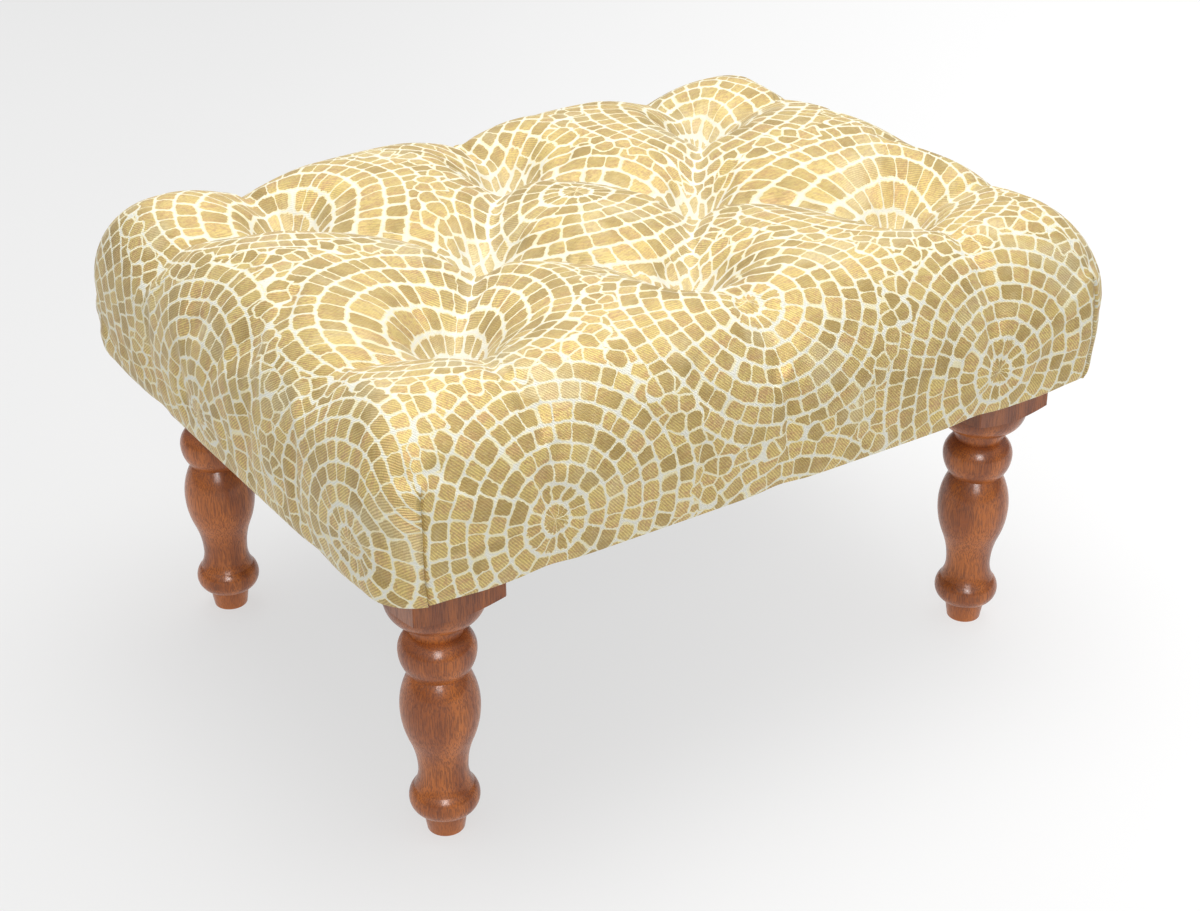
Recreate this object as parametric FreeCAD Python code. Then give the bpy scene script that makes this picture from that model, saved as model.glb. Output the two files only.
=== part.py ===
import FreeCAD, Part
import math
import os

# A footstool: a deep-buttoned cushion on a wooden frame, carried by four turned legs.
# Millimetres. +Z is up, +X runs along the seat, and the origin is on the floor under its middle.

# Seat frame
FRAME_LENGTH = 584.0
FRAME_DEPTH = 454.0
FRAME_CORNER_RADIUS = 12.0
RAIL_HEIGHT = 50.0
RAIL_THICKNESS = 22.0
DECK_THICKNESS = 12.0
CORNER_BLOCK_SIZE = 90.0
CORNER_BLOCK_BEVEL = 45.0
CORNER_BLOCK_HEADROOM = 6.0

# Padding and cloths
FOAM_THICKNESS = 46.0
WADDING_THICKNESS = 12.2
WADDING_HEM_LIFT = 14.0
COVER_THICKNESS = 1.2
SOFT_CLEARANCE = 0.3
HEM_DRAW_IN = 3.0
HEM_ROLL_HEIGHT = 40.0
HEM_FLANGE_MARGIN = 17.0
BOTTOM_CLOTH_THICKNESS = 0.6
BOTTOM_CLOTH_MARGIN = 9.5

# Cushion outside
CUSHION_CORNER_RADIUS = 35.0
SIDE_SHOULDER_RUN = 44.0
FRONT_SHOULDER_RUN = 60.0
SHOULDER_DROP = 55.0
SHOULDER_CORNER_SHARE = 0.3
SHOULDER_STEPS = 5
HEM_STEPS = 3
CROWN_STEPS = 4

# Deep buttoning: rows of 3, 2 and 3 set as diamonds
TUFT_PITCH = 187.0
TUFT_ROW_PITCH = 120.0
TUFT_MOUTH_WIDTH = 49.0
TUFT_FLOOR_RADIUS = 12.0
TUFT_STEPS = 4
CREASE_WIDTH = 68.0
CREASE_DEPTH = 20.0
CREASE_END_WIDTH = 46.0
CREASE_END_DEPTH = 34.0
CREASE_FLOOR_WIDTH = 0.8
CREASE_LIP = 1.2
EDGE_CREASE_HEAD_WIDTH = 80.0
EDGE_CREASE_HEAD_DEPTH = 24.0
EDGE_CREASE_WIDTH = 60.0
EDGE_CREASE_DEPTH = 5.0
EDGE_CREASE_TAIL = 26.0
EDGE_CREASE_TAIL_WIDTH = 20.0
EDGE_CREASE_TAIL_DEPTH = 0.4

# Buttons and their ties
BUTTON_RADIUS = 11.0
BUTTON_HEIGHT = 6.0
BUTTON_RIM_HEIGHT = 1.6
TWINE_RADIUS = 1.0
TWINE_HOLE_RADIUS = 2.5
KNOT_RADIUS = 3.0
KNOT_HEIGHT = 3.0
ANCHOR_RADIUS = 10.0
ANCHOR_THICKNESS = 1.5

# Legs: heights are above the floor, radii are those of the turning
LEG_INSET = 52.5
LEG_BLOCK_WIDTH = 69.0
LEG_BLOCK_HEIGHT = 37.2
LEG_BLOCK_CHAMFER = 1.0
FOOT_TIP_RADIUS = 13.2
FOOT_EDGE_ROUND = 1.4
FOOT_TOP_RADIUS = 15.5
FOOT_TOP_HEIGHT = 15.6
ANKLE_RADIUS = 24.6
ANKLE_HEIGHT = 28.0
ANKLE_TOP_RADIUS = 20.6
ANKLE_TOP_HEIGHT = 37.6
WAIST_RADIUS = 17.2
WAIST_HEIGHT = 51.0
BELLY_RADIUS = 27.4
BELLY_HEIGHT = 103.0
LOWER_NOTCH_RADIUS = 20.0
LOWER_NOTCH_HEIGHT = 130.5
COLLAR_RADIUS = 26.6
COLLAR_HEIGHT = 148.0
UPPER_NOTCH_RADIUS = 18.3
UPPER_NOTCH_HEIGHT = 162.0
BOWL_FOOT_RADIUS = 20.4
BOWL_FOOT_HEIGHT = 170.4
BOWL_RIM_RADIUS = 34.4
BOWL_RIM_HEIGHT = 189.0
SHOULDER_RISE = 4.5

# Leg fixings
BOLT_RADIUS = 4.0
BOLT_LEG_DEPTH = 38.0
BOLT_STAND_OUT = 2.5
BOLT_HOLE_CLEARANCE = 0.5
TEE_NUT_RADIUS = 11.0
TEE_NUT_THICKNESS = 1.5
TEE_NUT_BARREL_RADIUS = 5.2
TEE_NUT_BARREL_LENGTH = 9.0

# Wood screws
SCREW_RADIUS = 2.1
SCREW_HEAD_RADIUS = 4.1
SCREW_RIM_HEIGHT = 0.4
SCREW_TIP_LENGTH = 4.0
SCREW_SINK = 0.5
RAIL_SCREW_LENGTH = 60.0
RAIL_SCREW_EDGE = 10.0
RAIL_SCREW_OFFSET = 8.0
BLOCK_SCREW_LENGTH = 48.0
BLOCK_SCREW_MARGIN = 10.0
BLOCK_SCREW_SPACING = 60.0
BLOCK_SCREW_LOW = 15.0
BLOCK_SCREW_HIGH = 25.0
DECK_SCREW_LENGTH = 40.0
DECK_SCREW_PITCH = 150.0
DECK_SCREW_SIDE_PITCH = 120.0

# Staples
STAPLE_CROWN = 10.0
STAPLE_LEG = 8.0
STAPLE_WIDTH = 1.2
STAPLE_WIRE = 0.6
COVER_STAPLE_MARGIN = 6.0
COVER_STAPLE_PITCH = 62.0
CLOTH_STAPLE_MARGIN = 13.5
CLOTH_STAPLE_PITCH = 88.0
STAPLE_END_MARGIN = 36.0

# Cuts run this far past the faces that they open
OVERRUN = 5.0

# Places that follow from the sizes
X_AXIS = FreeCAD.Vector(1, 0, 0)
Y_AXIS = FreeCAD.Vector(0, 1, 0)
Z_AXIS = FreeCAD.Vector(0, 0, 1)

LEG_TOP = BOWL_RIM_HEIGHT + LEG_BLOCK_HEIGHT
CLOTH_TOP = LEG_TOP + BOTTOM_CLOTH_THICKNESS
HEM_BOTTOM = CLOTH_TOP
RAIL_BOTTOM = HEM_BOTTOM + COVER_THICKNESS
DECK_BOTTOM = RAIL_BOTTOM + RAIL_HEIGHT
DECK_TOP = DECK_BOTTOM + DECK_THICKNESS
BLOCK_TOP = DECK_BOTTOM - CORNER_BLOCK_HEADROOM

WADDING_OUTSIDE_INSET = COVER_THICKNESS + SOFT_CLEARANCE
WADDING_INSIDE_INSET = WADDING_OUTSIDE_INSET + WADDING_THICKNESS
PADDING = WADDING_INSIDE_INSET + SOFT_CLEARANCE
CROWN_TOP = DECK_TOP + FOAM_THICKNESS + PADDING
SHOULDER_BOTTOM = CROWN_TOP - SHOULDER_DROP
TUFT_DEPTH = FOAM_THICKNESS
TUFT_FLOOR = CROWN_TOP - TUFT_DEPTH

FRAME_HALF_X = FRAME_LENGTH / 2
FRAME_HALF_Y = FRAME_DEPTH / 2
CUSHION_HALF_X = FRAME_HALF_X + PADDING
CUSHION_HALF_Y = FRAME_HALF_Y + PADDING
SIDE_RAIL_HALF = FRAME_HALF_Y - RAIL_THICKNESS

LEG_X = FRAME_HALF_X - LEG_INSET
LEG_Y = FRAME_HALF_Y - LEG_INSET
CORNERS = [(-1, -1), (1, -1), (1, 1), (-1, 1)]
CORNER_NAMES = ["front_left", "front_right", "rear_right", "rear_left"]

TUFT_PLACES = [
    (-TUFT_PITCH, -TUFT_ROW_PITCH),
    (0, -TUFT_ROW_PITCH),
    (TUFT_PITCH, -TUFT_ROW_PITCH),
    (-TUFT_PITCH / 2, 0),
    (TUFT_PITCH / 2, 0),
    (-TUFT_PITCH, TUFT_ROW_PITCH),
    (0, TUFT_ROW_PITCH),
    (TUFT_PITCH, TUFT_ROW_PITCH),
]


def vector(x, y, z):
    """A point from its three coordinates."""
    return FreeCAD.Vector(x, y, z)


def line(start, end):
    """A straight edge between two points."""
    return Part.LineSegment(start, end).toShape()


def arc(start, middle, end):
    """A round edge through three points."""
    return Part.Arc(start, middle, end).toShape()


def box(low, high):
    """A box between its lowest and highest corners."""
    size = high - low
    return Part.makeBox(size.x, size.y, size.z, low)


def cylinder(radius, start, end):
    """A cylinder from one end point to the other."""
    along = end - start
    return Part.makeCylinder(radius, along.Length, start, along)


def fuse(solids):
    """One solid from solids that touch or overlap."""
    return solids[0].multiFuse(solids[1:]).removeSplitter()


def rounded_rectangle(half_x, half_y, radius, z):
    """A closed level wire: four straight sides joined by quarter arcs."""
    diagonal = radius * math.sqrt(0.5)
    arcs = []
    for sign_x, sign_y in CORNERS:
        centre = vector(sign_x * (half_x - radius), sign_y * (half_y - radius), z)
        on_x = centre + vector(sign_x * radius, 0, 0)
        on_y = centre + vector(0, sign_y * radius, 0)
        middle = centre + vector(sign_x * diagonal, sign_y * diagonal, 0)
        start, end = (on_x, on_y) if sign_x * sign_y > 0 else (on_y, on_x)
        arcs.append((start, middle, end))
    edges = []
    for index, (start, middle, end) in enumerate(arcs):
        following = arcs[(index + 1) % len(arcs)][0]
        edges.append(arc(start, middle, end))
        edges.append(line(end, following))
    return Part.Wire(edges)


def rounded_plate(half_x, half_y, radius, bottom, top):
    """A level plate with rounded corners between two heights."""
    face = Part.Face(rounded_rectangle(half_x, half_y, radius, bottom))
    return face.extrude(vector(0, 0, top - bottom))


def ring(centre, radius):
    """A closed level wire of four quarter arcs."""
    turns = [math.pi / 4 * index for index in range(9)]
    points = [centre + vector(radius * math.cos(turn), radius * math.sin(turn), 0) for turn in turns]
    return Part.Wire([arc(*points[first:first + 3]) for first in range(0, 8, 2)])


def cushion_level(inset, height, draw_in_x, draw_in_y, growth):
    """The outline of the padded block at one height."""
    half_x = CUSHION_HALF_X - inset - draw_in_x
    half_y = CUSHION_HALF_Y - inset - draw_in_y
    return rounded_rectangle(half_x, half_y, CUSHION_CORNER_RADIUS - inset + growth, height)


def cushion_block(inset, bottom):
    """The padded block before its tufts: a rolled hem, upright walls and round shoulders."""
    pieces = []
    roll_top = HEM_BOTTOM + HEM_ROLL_HEIGHT
    if bottom < roll_top:
        first = math.asin((roll_top - bottom) / HEM_ROLL_HEIGHT)
        turns = [first * (1 - step / HEM_STEPS) for step in range(HEM_STEPS + 1)]
        roll = []
        for turn in turns:
            draw_in = HEM_DRAW_IN * (1 - math.cos(turn))
            height = roll_top - HEM_ROLL_HEIGHT * math.sin(turn)
            roll.append(cushion_level(inset, height, draw_in, draw_in, 0))
        pieces.append(Part.makeLoft(roll, True, False))
    if bottom < SHOULDER_BOTTOM:
        wall_bottom = max(bottom, roll_top)
        wall = Part.Face(cushion_level(inset, wall_bottom, 0, 0, 0))
        pieces.append(wall.extrude(vector(0, 0, SHOULDER_BOTTOM - wall_bottom)))
    rise = SHOULDER_DROP - inset
    first = math.asin(max(bottom - SHOULDER_BOTTOM, 0) / rise)
    shoulder = []
    for step in range(SHOULDER_STEPS + 1):
        turn = first + (math.pi / 2 - first) * step / SHOULDER_STEPS
        draw_in_x = (SIDE_SHOULDER_RUN - inset) * (1 - math.cos(turn))
        draw_in_y = (FRONT_SHOULDER_RUN - inset) * (1 - math.cos(turn))
        growth = draw_in_y * SHOULDER_CORNER_SHARE
        height = SHOULDER_BOTTOM + rise * math.sin(turn)
        shoulder.append(cushion_level(inset, height, draw_in_x, draw_in_y, growth))
    pieces.append(Part.makeLoft(shoulder, True, False))
    return fuse(pieces) if len(pieces) > 1 else pieces[0]


def swell_radius(width, drop):
    """Radius of the swell that falls by a drop over a width from its level top."""
    return (width * width + drop * drop) / (2 * drop)


def funnel(place, inset):
    """The hollow over one button, widened by an inset, from its floor to just above the crown."""
    drop = TUFT_DEPTH + CREASE_LIP
    radius = swell_radius(TUFT_MOUTH_WIDTH, drop)
    floor_turn = math.acos(1 - drop / radius)
    top = CROWN_TOP + CREASE_LIP - inset
    rings = []
    for step in range(TUFT_STEPS + 1):
        turn = floor_turn * (1 - step / TUFT_STEPS)
        wide = TUFT_FLOOR_RADIUS + inset + TUFT_MOUTH_WIDTH - radius * math.sin(turn)
        height = top - radius * (1 - math.cos(turn))
        rings.append(ring(vector(place[0], place[1], height), wide))
    return Part.makeLoft(rings, True, False)


def groove_section(point, up, across, width, depth, inset):
    """The closed outline of a crease, square to its run: a narrow floor between two swells."""
    drop = depth + CREASE_LIP
    radius = swell_radius(width, drop)
    half_turn = math.acos(1 - drop / radius) / 2
    floor = CREASE_FLOOR_WIDTH / 2 + inset
    top = CREASE_LIP - inset
    middle_side = floor + width - radius * math.sin(half_turn)
    middle_rise = top - radius * (1 - math.cos(half_turn))
    outline = []
    for side in (-1, 1):
        outline.append(point + across * (side * (floor + width)) + up * top)
        outline.append(point + across * (side * middle_side) + up * middle_rise)
        outline.append(point + across * (side * floor) + up * (top - drop))
    left_top, left_middle, left_floor, right_top, right_middle, right_floor = outline
    edges = [
        arc(left_top, left_middle, left_floor),
        line(left_floor, right_floor),
        arc(right_floor, right_middle, right_top),
        line(right_top, left_top),
    ]
    return Part.Wire(edges)


def inner_crease(start, end, inset):
    """The crease between two neighbouring tufts, shallowest half way."""
    start_point = vector(start[0], start[1], CROWN_TOP)
    run = vector(end[0], end[1], CROWN_TOP) - start_point
    across = Z_AXIS.cross(run).normalize()
    sections = []
    for step in range(5):
        share = step / 4
        nearness = (2 * share - 1) ** 2
        width = CREASE_WIDTH + (CREASE_END_WIDTH - CREASE_WIDTH) * nearness
        depth = CREASE_DEPTH + (CREASE_END_DEPTH - CREASE_DEPTH) * nearness
        point = start_point + run * share
        sections.append(groove_section(point, Z_AXIS, across, width, depth, inset))
    return Part.makeLoft(sections, True, False)


def edge_crease(place, outward, half_size, run, inset):
    """The crease from an outer tuft over the shoulder, which fades out on the side."""
    across = Z_AXIS.cross(outward)
    tuft = vector(place[0], place[1], 0)
    line_place = tuft - outward * tuft.dot(outward)
    shoulder = half_size - run
    stations = []
    for step in range(CROWN_STEPS):
        share = step / CROWN_STEPS
        fall = (1 - share) ** 2
        width = EDGE_CREASE_HEAD_WIDTH + (CREASE_END_WIDTH - EDGE_CREASE_HEAD_WIDTH) * fall
        depth = EDGE_CREASE_HEAD_DEPTH + (CREASE_END_DEPTH - EDGE_CREASE_HEAD_DEPTH) * fall
        reach = tuft.dot(outward) + (shoulder - tuft.dot(outward)) * share
        stations.append((line_place + outward * reach + Z_AXIS * CROWN_TOP, Z_AXIS, width, depth))
    for step in range(SHOULDER_STEPS + 1):
        share = step / SHOULDER_STEPS
        turn = math.pi / 2 * (1 - share)
        reach = shoulder + run * math.cos(turn)
        height = SHOULDER_BOTTOM + SHOULDER_DROP * math.sin(turn)
        up = outward * (math.cos(turn) / run) + Z_AXIS * (math.sin(turn) / SHOULDER_DROP)
        width = EDGE_CREASE_HEAD_WIDTH + (EDGE_CREASE_WIDTH - EDGE_CREASE_HEAD_WIDTH) * share
        depth = EDGE_CREASE_HEAD_DEPTH + (EDGE_CREASE_DEPTH - EDGE_CREASE_HEAD_DEPTH) * share
        point = line_place + outward * reach + Z_AXIS * height
        stations.append((point, up.normalize(), width, depth))
    wall = line_place + outward * half_size + Z_AXIS * SHOULDER_BOTTOM
    for share in (0.5, 1):
        width = EDGE_CREASE_WIDTH + (EDGE_CREASE_TAIL_WIDTH - EDGE_CREASE_WIDTH) * share
        depth = EDGE_CREASE_DEPTH + (EDGE_CREASE_TAIL_DEPTH - EDGE_CREASE_DEPTH) * share
        stations.append((wall - Z_AXIS * (EDGE_CREASE_TAIL * share), outward, width, depth))
    sections = [groove_section(point, up, across, width, depth, inset)
                for point, up, width, depth in stations]
    return Part.makeLoft(sections, True, False)


def tuft_tools(inset):
    """All hollows and creases of the cushion, widened by an inset."""
    tools = [funnel(place, inset) for place in TUFT_PLACES]
    middle = [place for place in TUFT_PLACES if place[1] == 0]
    outer = [place for place in TUFT_PLACES if place[1] != 0]
    for start in middle:
        for end in outer:
            if abs(end[0] - start[0]) < TUFT_PITCH:
                tools.append(inner_crease(start, end, inset))
    for place in outer:
        outward = Y_AXIS * math.copysign(1, place[1])
        tools.append(edge_crease(place, outward, CUSHION_HALF_Y, FRONT_SHOULDER_RUN, inset))
        if place[0] != 0:
            outward = X_AXIS * math.copysign(1, place[0])
            tools.append(edge_crease(place, outward, CUSHION_HALF_X, SIDE_SHOULDER_RUN, inset))
    return tools


def cushion_form(inset, bottom):
    """The tufted cushion drawn in by an inset, as one closed solid."""
    form = cushion_block(inset, bottom)
    for tool in tuft_tools(inset):
        form = form.cut(tool)
    return form


def seat_cover():
    """The cover: a thin shell turned in under the rails as a flange, open underneath."""
    shell = cushion_form(0, HEM_BOTTOM).cut(cushion_form(COVER_THICKNESS, RAIL_BOTTOM))
    opening = box(vector(HEM_FLANGE_MARGIN - FRAME_HALF_X, HEM_FLANGE_MARGIN - FRAME_HALF_Y,
                         HEM_BOTTOM - OVERRUN),
                  vector(FRAME_HALF_X - HEM_FLANGE_MARGIN, FRAME_HALF_Y - HEM_FLANGE_MARGIN,
                         RAIL_BOTTOM + OVERRUN))
    return shell.cut(opening).cut(twine_holes()).cut(Part.makeCompound(cover_staples()))


def wadding():
    """The soft layer between the cover and the foam, which also pads the frame's sides."""
    bottom = RAIL_BOTTOM + WADDING_HEM_LIFT
    outside = cushion_form(WADDING_OUTSIDE_INSET, bottom)
    hollow = cushion_form(WADDING_INSIDE_INSET, DECK_TOP)
    frame_room = rounded_plate(FRAME_HALF_X + SOFT_CLEARANCE, FRAME_HALF_Y + SOFT_CLEARANCE,
                               FRAME_CORNER_RADIUS + SOFT_CLEARANCE, bottom - OVERRUN,
                               DECK_TOP + SOFT_CLEARANCE)
    return outside.cut(frame_room).cut(hollow).cut(twine_holes())


def foam_pad():
    """The foam block, with a hole punched right through at each button."""
    pad = cushion_form(PADDING, DECK_TOP)
    for place in TUFT_PLACES:
        low = vector(place[0], place[1], DECK_TOP - OVERRUN)
        high = vector(place[0], place[1], DECK_TOP + OVERRUN)
        pad = pad.cut(cylinder(TUFT_FLOOR_RADIUS + PADDING, low, high))
    return pad


def twine(place):
    """The twine from under a button down through the deck, ending in its knot."""
    knot_top = DECK_BOTTOM - ANCHOR_THICKNESS
    start = vector(place[0], place[1], TUFT_FLOOR)
    end = vector(place[0], place[1], knot_top)
    knot_end = end - vector(0, 0, KNOT_HEIGHT)
    return fuse([cylinder(TWINE_RADIUS, start, end), cylinder(KNOT_RADIUS, end, knot_end)])


def twine_holes():
    """What the twines pierce in the soft layers."""
    return Part.makeCompound([twine(place) for place in TUFT_PLACES])


def button_anchor(place):
    """The washer under the deck that a button's twine is tied against."""
    top = vector(place[0], place[1], DECK_BOTTOM)
    bottom = vector(place[0], place[1], DECK_BOTTOM - ANCHOR_THICKNESS)
    return cylinder(ANCHOR_RADIUS, top, bottom).cut(cylinder(TWINE_RADIUS, top, bottom))


def tuft_button(place):
    """A covered button: a low dome on a narrow rim."""
    foot = vector(place[0], place[1], TUFT_FLOOR)
    rim = foot + X_AXIS * BUTTON_RADIUS
    rim_top = rim + Z_AXIS * BUTTON_RIM_HEIGHT
    crown = foot + Z_AXIS * BUTTON_HEIGHT
    rise = BUTTON_HEIGHT - BUTTON_RIM_HEIGHT
    radius = swell_radius(BUTTON_RADIUS, rise)
    half_turn = math.acos(1 - rise / radius) / 2
    shoulder = crown + X_AXIS * (radius * math.sin(half_turn)) - Z_AXIS * (radius * (1 - math.cos(half_turn)))
    outline = [line(foot, rim), line(rim, rim_top), arc(rim_top, shoulder, crown), line(crown, foot)]
    return Part.Face(Part.Wire(outline)).revolve(foot, Z_AXIS, 360)


def revolved(points, at, direction):
    """A round solid from its half outline of (radius, distance) points along a direction."""
    across = Y_AXIS if abs(direction.dot(X_AXIS)) > abs(direction.dot(Y_AXIS)) else X_AXIS
    outline = [at + across * radius + direction * distance for radius, distance in points]
    outline.append(outline[0])
    return Part.Face(Part.makePolygon(outline)).revolve(at, direction, 360)


def wood_screw(length, at, direction):
    """A countersunk wood screw with its head sunk below the point where it enters."""
    neck = SCREW_SINK + SCREW_RIM_HEIGHT + SCREW_HEAD_RADIUS - SCREW_RADIUS
    points = [
        (0, SCREW_SINK),
        (SCREW_HEAD_RADIUS, SCREW_SINK),
        (SCREW_HEAD_RADIUS, SCREW_SINK + SCREW_RIM_HEIGHT),
        (SCREW_RADIUS, neck),
        (SCREW_RADIUS, length - SCREW_TIP_LENGTH),
        (0, length),
    ]
    return revolved(points, at, direction)


def screw_hole(length, at, direction):
    """The room that a screw takes, opened out to the surface over its head."""
    mouth = cylinder(SCREW_HEAD_RADIUS, at - direction * OVERRUN, at + direction * SCREW_SINK)
    return Part.makeCompound([wood_screw(length, at, direction), mouth])


def rail_screw_places():
    """Screws through the front and rear rails into the ends of the side rails."""
    places = []
    for sign_x, sign_y in CORNERS:
        for height in (RAIL_BOTTOM + RAIL_SCREW_EDGE, DECK_BOTTOM - RAIL_SCREW_EDGE):
            x = sign_x * (FRAME_HALF_X - RAIL_THICKNESS + RAIL_SCREW_OFFSET)
            places.append((vector(x, sign_y * FRAME_HALF_Y, height), Y_AXIS * -sign_y))
    return places


def block_screw_places():
    """Screws through the rails into the corner blocks, at two heights so that none meet."""
    places = []
    for sign_x, sign_y in CORNERS:
        for step in (0, 1):
            inward = RAIL_THICKNESS + BLOCK_SCREW_MARGIN + step * BLOCK_SCREW_SPACING
            x = sign_x * (FRAME_HALF_X - inward)
            y = sign_y * (FRAME_HALF_Y - inward)
            places.append((vector(x, sign_y * FRAME_HALF_Y, RAIL_BOTTOM + BLOCK_SCREW_LOW),
                           Y_AXIS * -sign_y))
            places.append((vector(sign_x * FRAME_HALF_X, y, RAIL_BOTTOM + BLOCK_SCREW_HIGH),
                           X_AXIS * -sign_x))
    return places


def deck_screw_places():
    """Screws down through the deck into the middle of each rail."""
    along_x = [DECK_SCREW_PITCH * (step - 1.5) for step in range(4)]
    along_y = [DECK_SCREW_SIDE_PITCH * (step - 0.5) for step in range(2)]
    row_y = FRAME_HALF_Y - RAIL_THICKNESS / 2
    row_x = FRAME_HALF_X - RAIL_THICKNESS / 2
    spots = [(x, side * row_y) for side in (-1, 1) for x in along_x]
    spots += [(side * row_x, y) for side in (-1, 1) for y in along_y]
    return [(vector(x, y, DECK_TOP), -Z_AXIS) for x, y in spots]


def screws(length, places):
    """The screws at a list of places."""
    return [wood_screw(length, at, direction) for at, direction in places]


def frame_screw_holes():
    """All screw holes in the frame's wood."""
    holes = [screw_hole(RAIL_SCREW_LENGTH, at, way) for at, way in rail_screw_places()]
    holes += [screw_hole(BLOCK_SCREW_LENGTH, at, way) for at, way in block_screw_places()]
    holes += [screw_hole(DECK_SCREW_LENGTH, at, way) for at, way in deck_screw_places()]
    return holes


def staple(at, along):
    """A staple driven upwards: a crown along the edge and two legs."""
    across = Z_AXIS.cross(along)
    half = along * (STAPLE_CROWN / 2) + across * (STAPLE_WIDTH / 2)
    crown_low = at - half - Z_AXIS * STAPLE_WIRE
    crown_high = at + half
    parts = [corner_box(crown_low, crown_high)]
    for side in (-1, 1):
        foot = at + along * (side * (STAPLE_CROWN - STAPLE_WIRE) / 2)
        reach = along * (STAPLE_WIRE / 2) + across * (STAPLE_WIDTH / 2)
        parts.append(corner_box(foot - reach - Z_AXIS * STAPLE_WIRE, foot + reach + Z_AXIS * STAPLE_LEG))
    return fuse(parts)


def corner_box(first, second):
    """A box between any two opposite corners."""
    low = vector(min(first.x, second.x), min(first.y, second.y), min(first.z, second.z))
    high = vector(max(first.x, second.x), max(first.y, second.y), max(first.z, second.z))
    return box(low, high)


def staple_row(margin, pitch, height):
    """Staples round all four sides, a margin in from the frame's outside."""
    staples = []
    for along, half_run, half_gap in ((X_AXIS, FRAME_HALF_X, FRAME_HALF_Y),
                                      (Y_AXIS, FRAME_HALF_Y, FRAME_HALF_X)):
        free = half_run - STAPLE_END_MARGIN
        count = max(1, round(2 * free / pitch))
        across = Z_AXIS.cross(along)
        for side in (-1, 1):
            for step in range(count + 1):
                shift = free * (2 * step / count - 1)
                at = along * shift + across * (side * (half_gap - margin)) + Z_AXIS * height
                staples.append(staple(at, along))
    return staples


def cover_staples():
    """Staples that hold the cover's flange under the rails."""
    return staple_row(COVER_STAPLE_MARGIN, COVER_STAPLE_PITCH, HEM_BOTTOM)


def cloth_staples():
    """Staples that hold the bottom cloth's edge, through the flange."""
    return staple_row(CLOTH_STAPLE_MARGIN, CLOTH_STAPLE_PITCH, HEM_BOTTOM - BOTTOM_CLOTH_THICKNESS)


def leg_place(corner):
    """The foot of a leg's axis on the floor."""
    return vector(corner[0] * LEG_X, corner[1] * LEG_Y, 0)


def leg_bolt(corner):
    """The hanger bolt between a leg and its corner block."""
    low = leg_place(corner) + Z_AXIS * (LEG_TOP - BOLT_LEG_DEPTH)
    high = leg_place(corner) + Z_AXIS * (BLOCK_TOP + TEE_NUT_THICKNESS + BOLT_STAND_OUT)
    return cylinder(BOLT_RADIUS, low, high)


def tee_nut(corner):
    """The tee nut on top of a corner block, with its barrel down in the wood."""
    seat = leg_place(corner) + Z_AXIS * BLOCK_TOP
    flange = cylinder(TEE_NUT_RADIUS, seat, seat + Z_AXIS * TEE_NUT_THICKNESS)
    barrel = cylinder(TEE_NUT_BARREL_RADIUS, seat - Z_AXIS * TEE_NUT_BARREL_LENGTH, seat)
    return fuse([flange, barrel]).cut(leg_bolt(corner))


def vertical_tangent_arc(peak, end):
    """The arc from a peak, where the outline runs upright, to another point of it."""
    radius = swell_radius(abs(end[1] - peak[1]), abs(end[0] - peak[0]))
    half_turn = math.asin(abs(end[1] - peak[1]) / radius) / 2
    side = math.copysign(radius, end[0] - peak[0])
    rise = math.copysign(radius, end[1] - peak[1])
    middle = (peak[0] + side * (1 - math.cos(half_turn)), peak[1] + rise * math.sin(half_turn))
    return arc(*[vector(r, 0, z) for r, z in (peak, middle, end)])


def leg_outline():
    """The edges of half the turning, with a shoulder that slopes up to the reach of the block's corners."""
    round_start = (FOOT_TIP_RADIUS - FOOT_EDGE_ROUND, 0)
    round_end = (FOOT_TIP_RADIUS, FOOT_EDGE_ROUND)
    slant = math.sqrt(0.5) * FOOT_EDGE_ROUND
    round_middle = (round_start[0] + slant, round_end[1] - slant)
    foot_top = (FOOT_TOP_RADIUS, FOOT_TOP_HEIGHT)
    ankle = (ANKLE_RADIUS, ANKLE_HEIGHT)
    ankle_top = (ANKLE_TOP_RADIUS, ANKLE_TOP_HEIGHT)
    waist = (WAIST_RADIUS, WAIST_HEIGHT)
    belly = (BELLY_RADIUS, BELLY_HEIGHT)
    sweep = ((WAIST_RADIUS + BELLY_RADIUS) / 2, (WAIST_HEIGHT + BELLY_HEIGHT) / 2)
    lower_notch = (LOWER_NOTCH_RADIUS, LOWER_NOTCH_HEIGHT)
    collar = (COLLAR_RADIUS, COLLAR_HEIGHT)
    upper_notch = (UPPER_NOTCH_RADIUS, UPPER_NOTCH_HEIGHT)
    bowl_foot = (BOWL_FOOT_RADIUS, BOWL_FOOT_HEIGHT)
    bowl_rim = (BOWL_RIM_RADIUS, BOWL_RIM_HEIGHT)
    corner_reach = LEG_BLOCK_WIDTH / math.sqrt(2)
    shoulder = (corner_reach, BOWL_RIM_HEIGHT + SHOULDER_RISE)
    flat = [vector(r, 0, z) for r, z in ((0, 0), round_start, round_end, foot_top, upper_notch, bowl_foot, bowl_rim,
                                         shoulder, (corner_reach, LEG_TOP), (0, LEG_TOP))]
    floor_centre, tip_start, tip_end, foot_top_point, neck, bowl_start, rim, shoulder_end, top_edge, top_centre = flat
    return [
        line(floor_centre, tip_start),
        arc(tip_start, vector(round_middle[0], 0, round_middle[1]), tip_end),
        line(tip_end, foot_top_point),
        vertical_tangent_arc(ankle, foot_top),
        vertical_tangent_arc(ankle, ankle_top),
        vertical_tangent_arc(waist, ankle_top),
        vertical_tangent_arc(waist, sweep),
        vertical_tangent_arc(belly, sweep),
        vertical_tangent_arc(belly, lower_notch),
        vertical_tangent_arc(collar, lower_notch),
        vertical_tangent_arc(collar, upper_notch),
        line(neck, bowl_start),
        vertical_tangent_arc(bowl_rim, bowl_foot),
        line(rim, shoulder_end),
        line(shoulder_end, top_edge),
        line(top_edge, top_centre),
        line(top_centre, floor_centre),
    ]


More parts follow.
